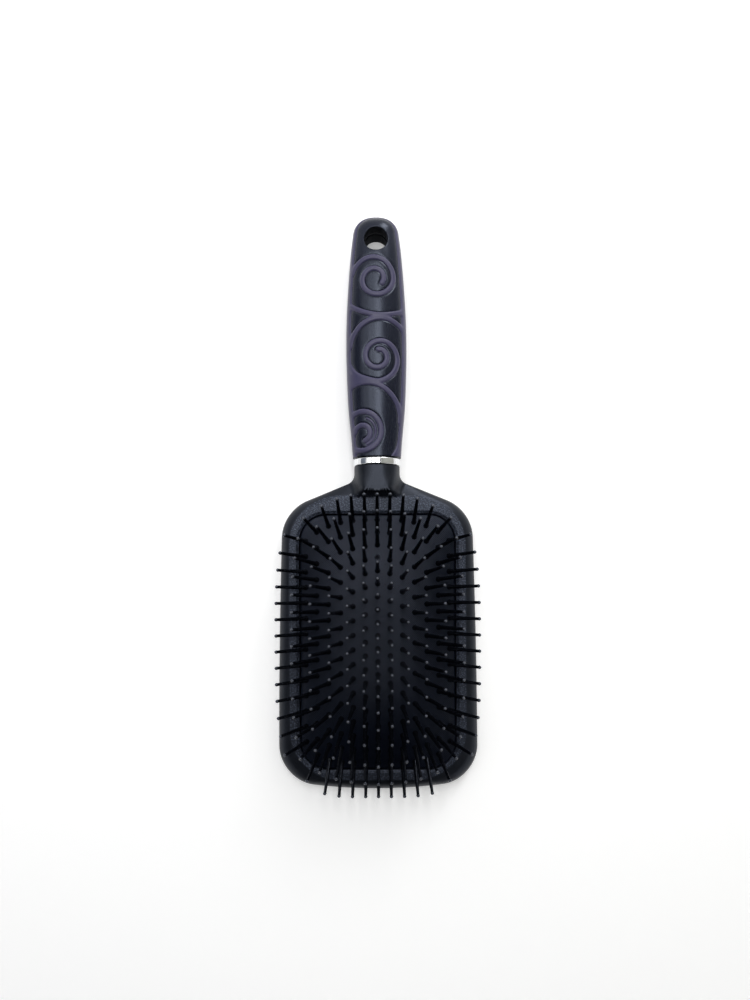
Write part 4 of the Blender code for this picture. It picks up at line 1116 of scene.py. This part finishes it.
def grip_field(points, rib_width):
    """Signed distance to the edge of the soft layer, negative on it: ribs, side bands and the corner webs,
    joined by a smooth union."""
    flat = points.reshape(-1, 3)
    places = flat[:, :2]
    _, thickness = full_half_sizes(flat[:, 1] - BAND_TOP_Y)
    field = np.full(len(flat), 1.0)
    for line, share in rib_lines():
        near = np.full(len(flat), 1.0)
        low, high = line.min(0) - 0.004, line.max(0) + 0.004
        chosen = np.flatnonzero(((places > low) & (places < high)).all(1))
        for part in np.array_split(chosen, max(1, len(chosen) // 6000)):
            near[part] = distance_to_line(places[part], line)
        field = smooth_union(field, near - share * rib_width / 2, RIB_BLEND)
    across, along = (places - CORNER_CIRCLE).T
    corner = np.maximum(CORNER_CIRCLE_RADIUS - np.hypot(across, along), np.maximum(along, -places[:, 0]))
    field = smooth_union(field, corner, CORNER_BLEND)
    field = smooth_union(field, inside_triangle(places, WEB_CORNERS), BAND_BLEND)
    band = np.abs(flat[:, 2] - AXIS_HEIGHT) - SIDE_BAND_SHARE * thickness
    return smooth_union(field, band, BAND_BLEND).reshape(points.shape[:2])


def raised_grip(field, proud):
    """Height of the soft layer: 1 - (1 - t)^2 over the width of its edge, and a slope down below the hard core
    outside it."""
    on = np.clip(-field / RIB_EDGE_WIDTH, 0.0, 1.0)
    off = np.maximum(-RIB_SIDE_SLOPE * field, -SUNK_DEPTH)
    return np.where(field < 0.0, proud * (1.0 - (1.0 - on) ** 2), off)


def grooved_core(field):
    """Height of the hard core: a bell curve's groove beside each rib, and a seat that slopes down below it."""
    beside = -GROOVE_DEPTH * np.exp(-((np.maximum(field, 0.0) / GROOVE_WIDTH) ** 2))
    return np.where(field > 0.0, beside, np.maximum(-GROOVE_DEPTH + SEAT_SLOPE * field, -SEAT_DEPTH))


def hole_through(points, faces, radius, rounding):
    """The hanging hole: both faces pierced, with a rounded edge and walls that meet at mid height."""
    centre = np.array((0.0, HOLE_Y))
    for side in (1.0, -1.0):

        def inside(centres, side=side):
            near = np.linalg.norm(centres[:, :2] - centre, axis=1) < radius + rounding
            return near & ((centres[:, 2] - AXIS_HEIGHT) * side > 0.0)

        def rim(border, side=side):
            places = centre + unit(border[:, :2] - centre) * (radius + rounding)
            return at_height(places, border[:, 2])

        def walls(border, side=side):
            away = unit(border[:, :2] - centre)
            rings = []
            for turn in np.linspace(0.0, math.pi / 2, 7)[1:]:
                reach = radius + rounding * (1.0 - math.sin(turn))
                drop = side * rounding * (1.0 - math.cos(turn))
                rings.append(at_height(centre + away * reach, border[:, 2] - drop))
            wall_top = rings[-1][:, 2]
            for share in (0.33, 0.66, 1.0):
                rings.append(at_height(rings[-1], wall_top + (AXIS_HEIGHT - wall_top) * share))
            return rings

        points, faces = pierced(points, faces, inside, rim, walls)
    return points, faces


def write_painted_bore_shade(mesh):
    """An attribute that is 1 on the wall of the hanging hole and 0 from a little outside its edge; it places
    the painted shade there.
    """
    points = points_of(mesh)
    from_hole = np.hypot(points[:, 0], points[:, 1] - HOLE_Y) - HOLE_RADIUS
    write_layer(mesh, "painted_bore_shade", 1.0 - smooth_step((from_hole - BORE_SHADE_BLUR / 2) / BORE_SHADE_BLUR))


def write_wear_and_sheen(mesh, rib_width):
    """An attribute that is 1 at the edge of the soft layer and 0 in its middle; it places the paler tone there,
    partly wear and partly painted sheen.
    """
    field = grip_field(points_of(mesh)[None], rib_width)[0]
    write_layer(mesh, "edge", np.exp(-(((field + WEAR_AND_SHEEN_INSET) / WEAR_AND_SHEEN_WIDTH) ** 2)))


# ---------------------------------------------------------------- stage


def add_board(name, corners, material):
    """A flat board with four corners."""
    mesh = bpy.data.meshes.new(name)
    mesh.from_pydata(corners, [], [(0, 1, 2, 3)])
    mesh.materials.append(material)
    board = bpy.data.objects.new(name, mesh)
    bpy.context.scene.collection.objects.link(board)
    return board


def studio_world(scene):
    """White to the camera, to mirrors and through glass, and a softer white on everything else."""
    world = bpy.data.worlds.new("Studio")
    world.use_nodes = True
    scene.world = world
    graph = Graph.on_tree(world.node_tree)
    strength = seen_directly(graph) * (1.0 - SOFT_LIGHT) + SOFT_LIGHT
    background = world.node_tree.nodes["Background"]
    background.inputs["Color"].default_value = (1.0, 1.0, 1.0, 1.0)
    world.node_tree.links.new(strength.socket, background.inputs["Strength"])


def soft_lamp(name, place, target, size, radiance):
    """A rectangular soft light that faces a target; its power is pi times its radiance times its area."""
    data = bpy.data.lights.new(name, "AREA")
    data.shape = "RECTANGLE"
    data.size, data.size_y = size
    data.energy = math.pi * radiance * data.size * data.size_y
    lamp = bpy.data.objects.new(name, data)
    lamp.location = place
    lamp.rotation_euler = (Vector(target) - Vector(place)).to_track_quat("-Z", "Y").to_euler()
    bpy.context.scene.collection.objects.link(lamp)


def add_camera(scene):
    """A camera that looks straight down; the lens shift puts its foot at the photograph's pixel."""
    data = bpy.data.cameras.new("camera")
    data.sensor_fit = "VERTICAL"
    data.sensor_height = SENSOR_HEIGHT
    data.lens = FOCAL_PIXELS * SENSOR_HEIGHT / PHOTO_HEIGHT
    data.shift_x = -(FOOT_PIXEL[0] - PHOTO_WIDTH / 2) / PHOTO_HEIGHT
    data.shift_y = (FOOT_PIXEL[1] - PHOTO_HEIGHT / 2) / PHOTO_HEIGHT
    data.clip_start = 0.01
    camera = bpy.data.objects.new("camera", data)
    camera.location = CAMERA_PLACE
    camera.rotation_euler = (0.0, 0.0, math.radians(CAMERA_TURN_DEGREES))
    scene.collection.objects.link(camera)
    scene.camera = camera


# ---------------------------------------------------------------- settings


def colour_setting(name, description, default):
    """A linear colour."""
    return bpy.props.FloatVectorProperty(
        name=name, description=description, default=default, subtype="COLOR", size=3, min=0.0, max=1.0
    )


def length_setting(name, description, default):
    """A length in metres, not below 0."""
    return bpy.props.FloatProperty(
        name=name,
        description=description,
        default=default,
        subtype="DISTANCE",
        unit="LENGTH",
        min=0.0,
        precision=5,
    )


class HairBrushSizes(bpy.types.PropertyGroup):
    """Sizes that may be changed without touching what the solids fix."""

    lip_rounding: length_setting("Lip rounding", "Rounding of the frame's edge over the cushion", 0.0005)
    seam: length_setting("Seam", "Width of the dark seam round the cushion", 0.00025)
    cushion_rounding: length_setting("Cushion rounding", "Rounding of the cushion into its seam", 0.0007)
    vent_radius: length_setting("Vent radius", "Radius of the cushion's air vent", 0.0009)
    ball_radius: length_setting("Ball radius", "Radius of the pins' ball tips", 0.0008)
    shaft_radius: length_setting("Shaft radius", "Radius of the pins at the cushion", 0.00096)
    rib_width: length_setting("Rib width", "Width of the scroll ribs", 0.0019)
    rib_height: length_setting("Rib height", "Height of the scroll ribs over the hard core", 0.00028)
    hole_rounding: length_setting("Hole rounding", "Rounding of the hanging hole's edge", 0.0003)


class HairBrushColours(bpy.types.PropertyGroup):
    """Linear colours of the brush's materials and of the floor."""

    head: colour_setting("Head", "Satin black plastic of the head", (0.0042, 0.0050, 0.0072))
    core: colour_setting("Core", "Gloss charcoal plastic of the handle", (0.0055, 0.0065, 0.0135))
    grip: colour_setting("Grip", "Soft purple layer of the handle", (0.041, 0.038, 0.088))
    # Grip edge: paler tone along the soft layer's edges, partly wear and partly painted sheen
    grip_wear_and_sheen: colour_setting("Grip edge", "Soft layer where its edges are worn", (0.10, 0.095, 0.15))
    chrome: colour_setting("Chrome", "Plated band", (0.80, 0.81, 0.82))
    rubber: colour_setting("Rubber", "Cushion", (0.0013, 0.0020, 0.0045))
    nylon: colour_setting("Nylon", "Pins", (0.0015, 0.0018, 0.0030))
    # Pin tips: painted highlight on the tops of the ball tips
    tips: colour_setting("Pin tips", "Tops of the ball tips, polished paler by use", (0.065, 0.070, 0.085))
    floor: colour_setting("Floor", "Card under the brush", (0.90, 0.90, 0.90))
    cool_card: colour_setting("Cool card", "Board on the left, which shows in the chrome", (0.20, 0.22, 0.26))
    warm_card: colour_setting("Warm card", "Board on the right, which shows in the chrome", (0.50, 0.50, 0.46))
    dark_card: colour_setting("Dark card", "Boards above, which keep the head end dark", (0.02, 0.02, 0.02))


# ---------------------------------------------------------------- operators


class HAIRBRUSH_OT_head(bpy.types.Operator):
    """Makes the paddle head with its neck, frame, pocket and spigot"""

    bl_idname = "hairbrush.head"
    bl_label = "Paddle head"

    def execute(self, context):
        sizes, colours = context.scene.hairbrush_sizes, context.scene.hairbrush_colours
        shell = ring_skin(head_rings(sizes.lip_rounding))
        start, end = NECK_FACE_Y - SPIGOT_OVERLAP, BAND_TOP_Y + SPIGOT_OVERLAP
        spigot = ring_skin(oval_rod(SPIGOT_HALF_WIDTH, SPIGOT_HALF_THICKNESS, start, end))
        mesh = mesh_of("head_shell", *joined(shell, spigot))
        write_strip(mesh)
        material = satin_black(colours.head)
        add_piece("head_shell", mesh, material, "brush_body", "satin_black_plastic", "paddle_head")
        return {"FINISHED"}


class HAIRBRUSH_OT_cushion(bpy.types.Operator):
    """Makes the domed rubber cushion with its vent"""

    bl_idname = "hairbrush.cushion"
    bl_label = "Rubber cushion"

    def execute(self, context):
        sizes, colours = context.scene.hairbrush_sizes, context.scene.hairbrush_colours
        points, faces = ring_skin(cushion_rings(sizes.seam, sizes.cushion_rounding))
        vent = tuple(map(float, column_places(0)[VENT_POSITION]))
        points, faces = vent_in(
            points, faces, vent, sizes.vent_radius, VENT_ROUNDING, VENT_DEPTH
        )
        mesh = mesh_of("cushion_skin", points, faces)
        material = matt_rubber(colours.rubber)
        piece = add_piece("cushion_skin", mesh, material, "brush_body", "black_rubber", "rubber_cushion")
        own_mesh(piece)
        return {"FINISHED"}


class HAIRBRUSH_OT_pins(bpy.types.Operator):
    """Makes the ball-tip pins, which sink together when the cushion is pressed"""

    bl_idname = "hairbrush.pins"
    bl_label = "Ball-tip pins"

    def execute(self, context):
        sizes, colours = context.scene.hairbrush_sizes, context.scene.hairbrush_colours
        skins = pin_skins(PIN_LENGTH, sizes.ball_radius, sizes.shaft_radius)
        mesh = mesh_of("ball_tip_pins", *skins, sharp_degrees=70.0)
        write_tip_highlights(mesh, PIN_SIDES)
        rows = sorted(name for name in frame["nodes"] if name.startswith("pin_row_"))
        material = gloss_nylon(colours.nylon, colours.tips)
        add_piece("ball_tip_pins", mesh, material, "pin_bed", "black_nylon", *rows)
        return {"FINISHED"}


class HAIRBRUSH_OT_band(bpy.types.Operator):
    """Makes the chrome band between neck and handle"""

    bl_idname = "hairbrush.band"
    bl_label = "Chrome band"

    def execute(self, context):
        colours = context.scene.hairbrush_colours
        rings = band_rings(BAND_WALL, BAND_EDGE_ROUNDING, BAND_CROWN)
        mesh = mesh_of("band_ring", *ring_skin(rings, closed_round=True))
        add_piece("band_ring", mesh, bright_chrome(colours.chrome), "brush_body", "chrome", "chrome_band")
        return {"FINISHED"}


class HAIRBRUSH_OT_handle(bpy.types.Operator):
    """Makes the hard handle core with the hanging hole and grooves beside the ribs"""

    bl_idname = "hairbrush.handle"
    bl_label = "Handle core"

    def execute(self, context):
        sizes, colours = context.scene.hairbrush_sizes, context.scene.hairbrush_colours
        points, normals = handle_grid(GAP)
        field = grip_field(points, sizes.rib_width)
        skin = ring_skin(points + normals * grooved_core(field)[..., None])
        skin = hole_through(*skin, HOLE_RADIUS, sizes.hole_rounding)
        mesh = mesh_of("handle_body", *skin, merge=SAME_POINT)
        write_painted_bore_shade(mesh)
        material = gloss_charcoal(colours.core)
        add_piece("handle_body", mesh, material, "brush_body", "charcoal_plastic", "handle_core")
        return {"FINISHED"}


class HAIRBRUSH_OT_grip(bpy.types.Operator):
    """Makes the soft layer: side bands, scroll ribs and corner webs in one piece"""

    bl_idname = "hairbrush.grip"
    bl_label = "Grip overmould"

    def execute(self, context):
        sizes, colours = context.scene.hairbrush_sizes, context.scene.hairbrush_colours
        points, normals = handle_grid(1.2 * GAP)
        field = grip_field(points, sizes.rib_width)
        skin = ring_skin(points + normals * raised_grip(field, sizes.rib_height)[..., None])
        skin = hole_through(*skin, HOLE_RADIUS + HOLE_BORDER, HOLE_BORDER_ROUNDING)
        mesh = mesh_of("grip_scrolls", *skin, merge=SAME_POINT)
        write_wear_and_sheen(mesh, sizes.rib_width)
        material = soft_purple(colours.grip, colours.grip_wear_and_sheen)
        add_piece("grip_scrolls", mesh, material, "brush_body", "purple_overmould", "grip_overmould")
        return {"FINISHED"}


class HAIRBRUSH_OT_stage(bpy.types.Operator):
    """Makes the white floor, the soft lights and the camera above the brush"""

    bl_idname = "hairbrush.stage"
    bl_label = "Stage"

    def execute(self, context):
        colours = context.scene.hairbrush_colours
        scene = context.scene
        floor = add_board("floor", FLOOR_CORNERS, white_floor(colours.floor, FLOOR_GLOW))
        cards = {name: matt_card(getattr(colours, name)) for name in ("cool_card", "warm_card", "dark_card")}
        for name, colour, corners in STUDIO_BOARDS:
            board = add_board(name, corners, cards[colour])
            board.visible_camera = False
        studio_world(scene)
        for lamp in LAMPS:
            soft_lamp(*lamp)
        add_camera(scene)
        return {"FINISHED"}


class HAIRBRUSH_PT_parts(bpy.types.Panel):
    """Lists the pieces of the brush with their settings"""

    bl_idname = "HAIRBRUSH_PT_parts"
    bl_label = "Hair brush"
    bl_space_type = "VIEW_3D"
    bl_region_type = "UI"
    bl_category = "Hair brush"

    def draw(self, context):
        column = self.layout.column()
        for operator in OPERATORS:
            column.operator(operator.bl_idname)
        for group in (context.scene.hairbrush_sizes, context.scene.hairbrush_colours):
            for key in group.__annotations__:
                column.prop(group, key)


OPERATORS = (
    HAIRBRUSH_OT_head,
    HAIRBRUSH_OT_cushion,
    HAIRBRUSH_OT_pins,
    HAIRBRUSH_OT_band,
    HAIRBRUSH_OT_handle,
    HAIRBRUSH_OT_grip,
    HAIRBRUSH_OT_stage,
)
CLASSES = (HairBrushSizes, HairBrushColours, *OPERATORS, HAIRBRUSH_PT_parts)


def register():
    """Registers the classes and puts the settings on the scene."""
    for cls in CLASSES:
        bpy.utils.register_class(cls)
    bpy.types.Scene.hairbrush_sizes = bpy.props.PointerProperty(type=HairBrushSizes)
    bpy.types.Scene.hairbrush_colours = bpy.props.PointerProperty(type=HairBrushColours)


def unregister():
    """Takes the settings off the scene and the classes away."""
    del bpy.types.Scene.hairbrush_colours
    del bpy.types.Scene.hairbrush_sizes
    for cls in reversed(CLASSES):
        bpy.utils.unregister_class(cls)


def main():
    """Makes every piece and the stage."""
    register()
    scene = bpy.context.scene
    scene.view_settings.view_transform = "Standard"
    for operator in OPERATORS:
        group, name = operator.bl_idname.split(".")
        getattr(getattr(bpy.ops, group), name)()


if __name__ == "__main__":
    main()
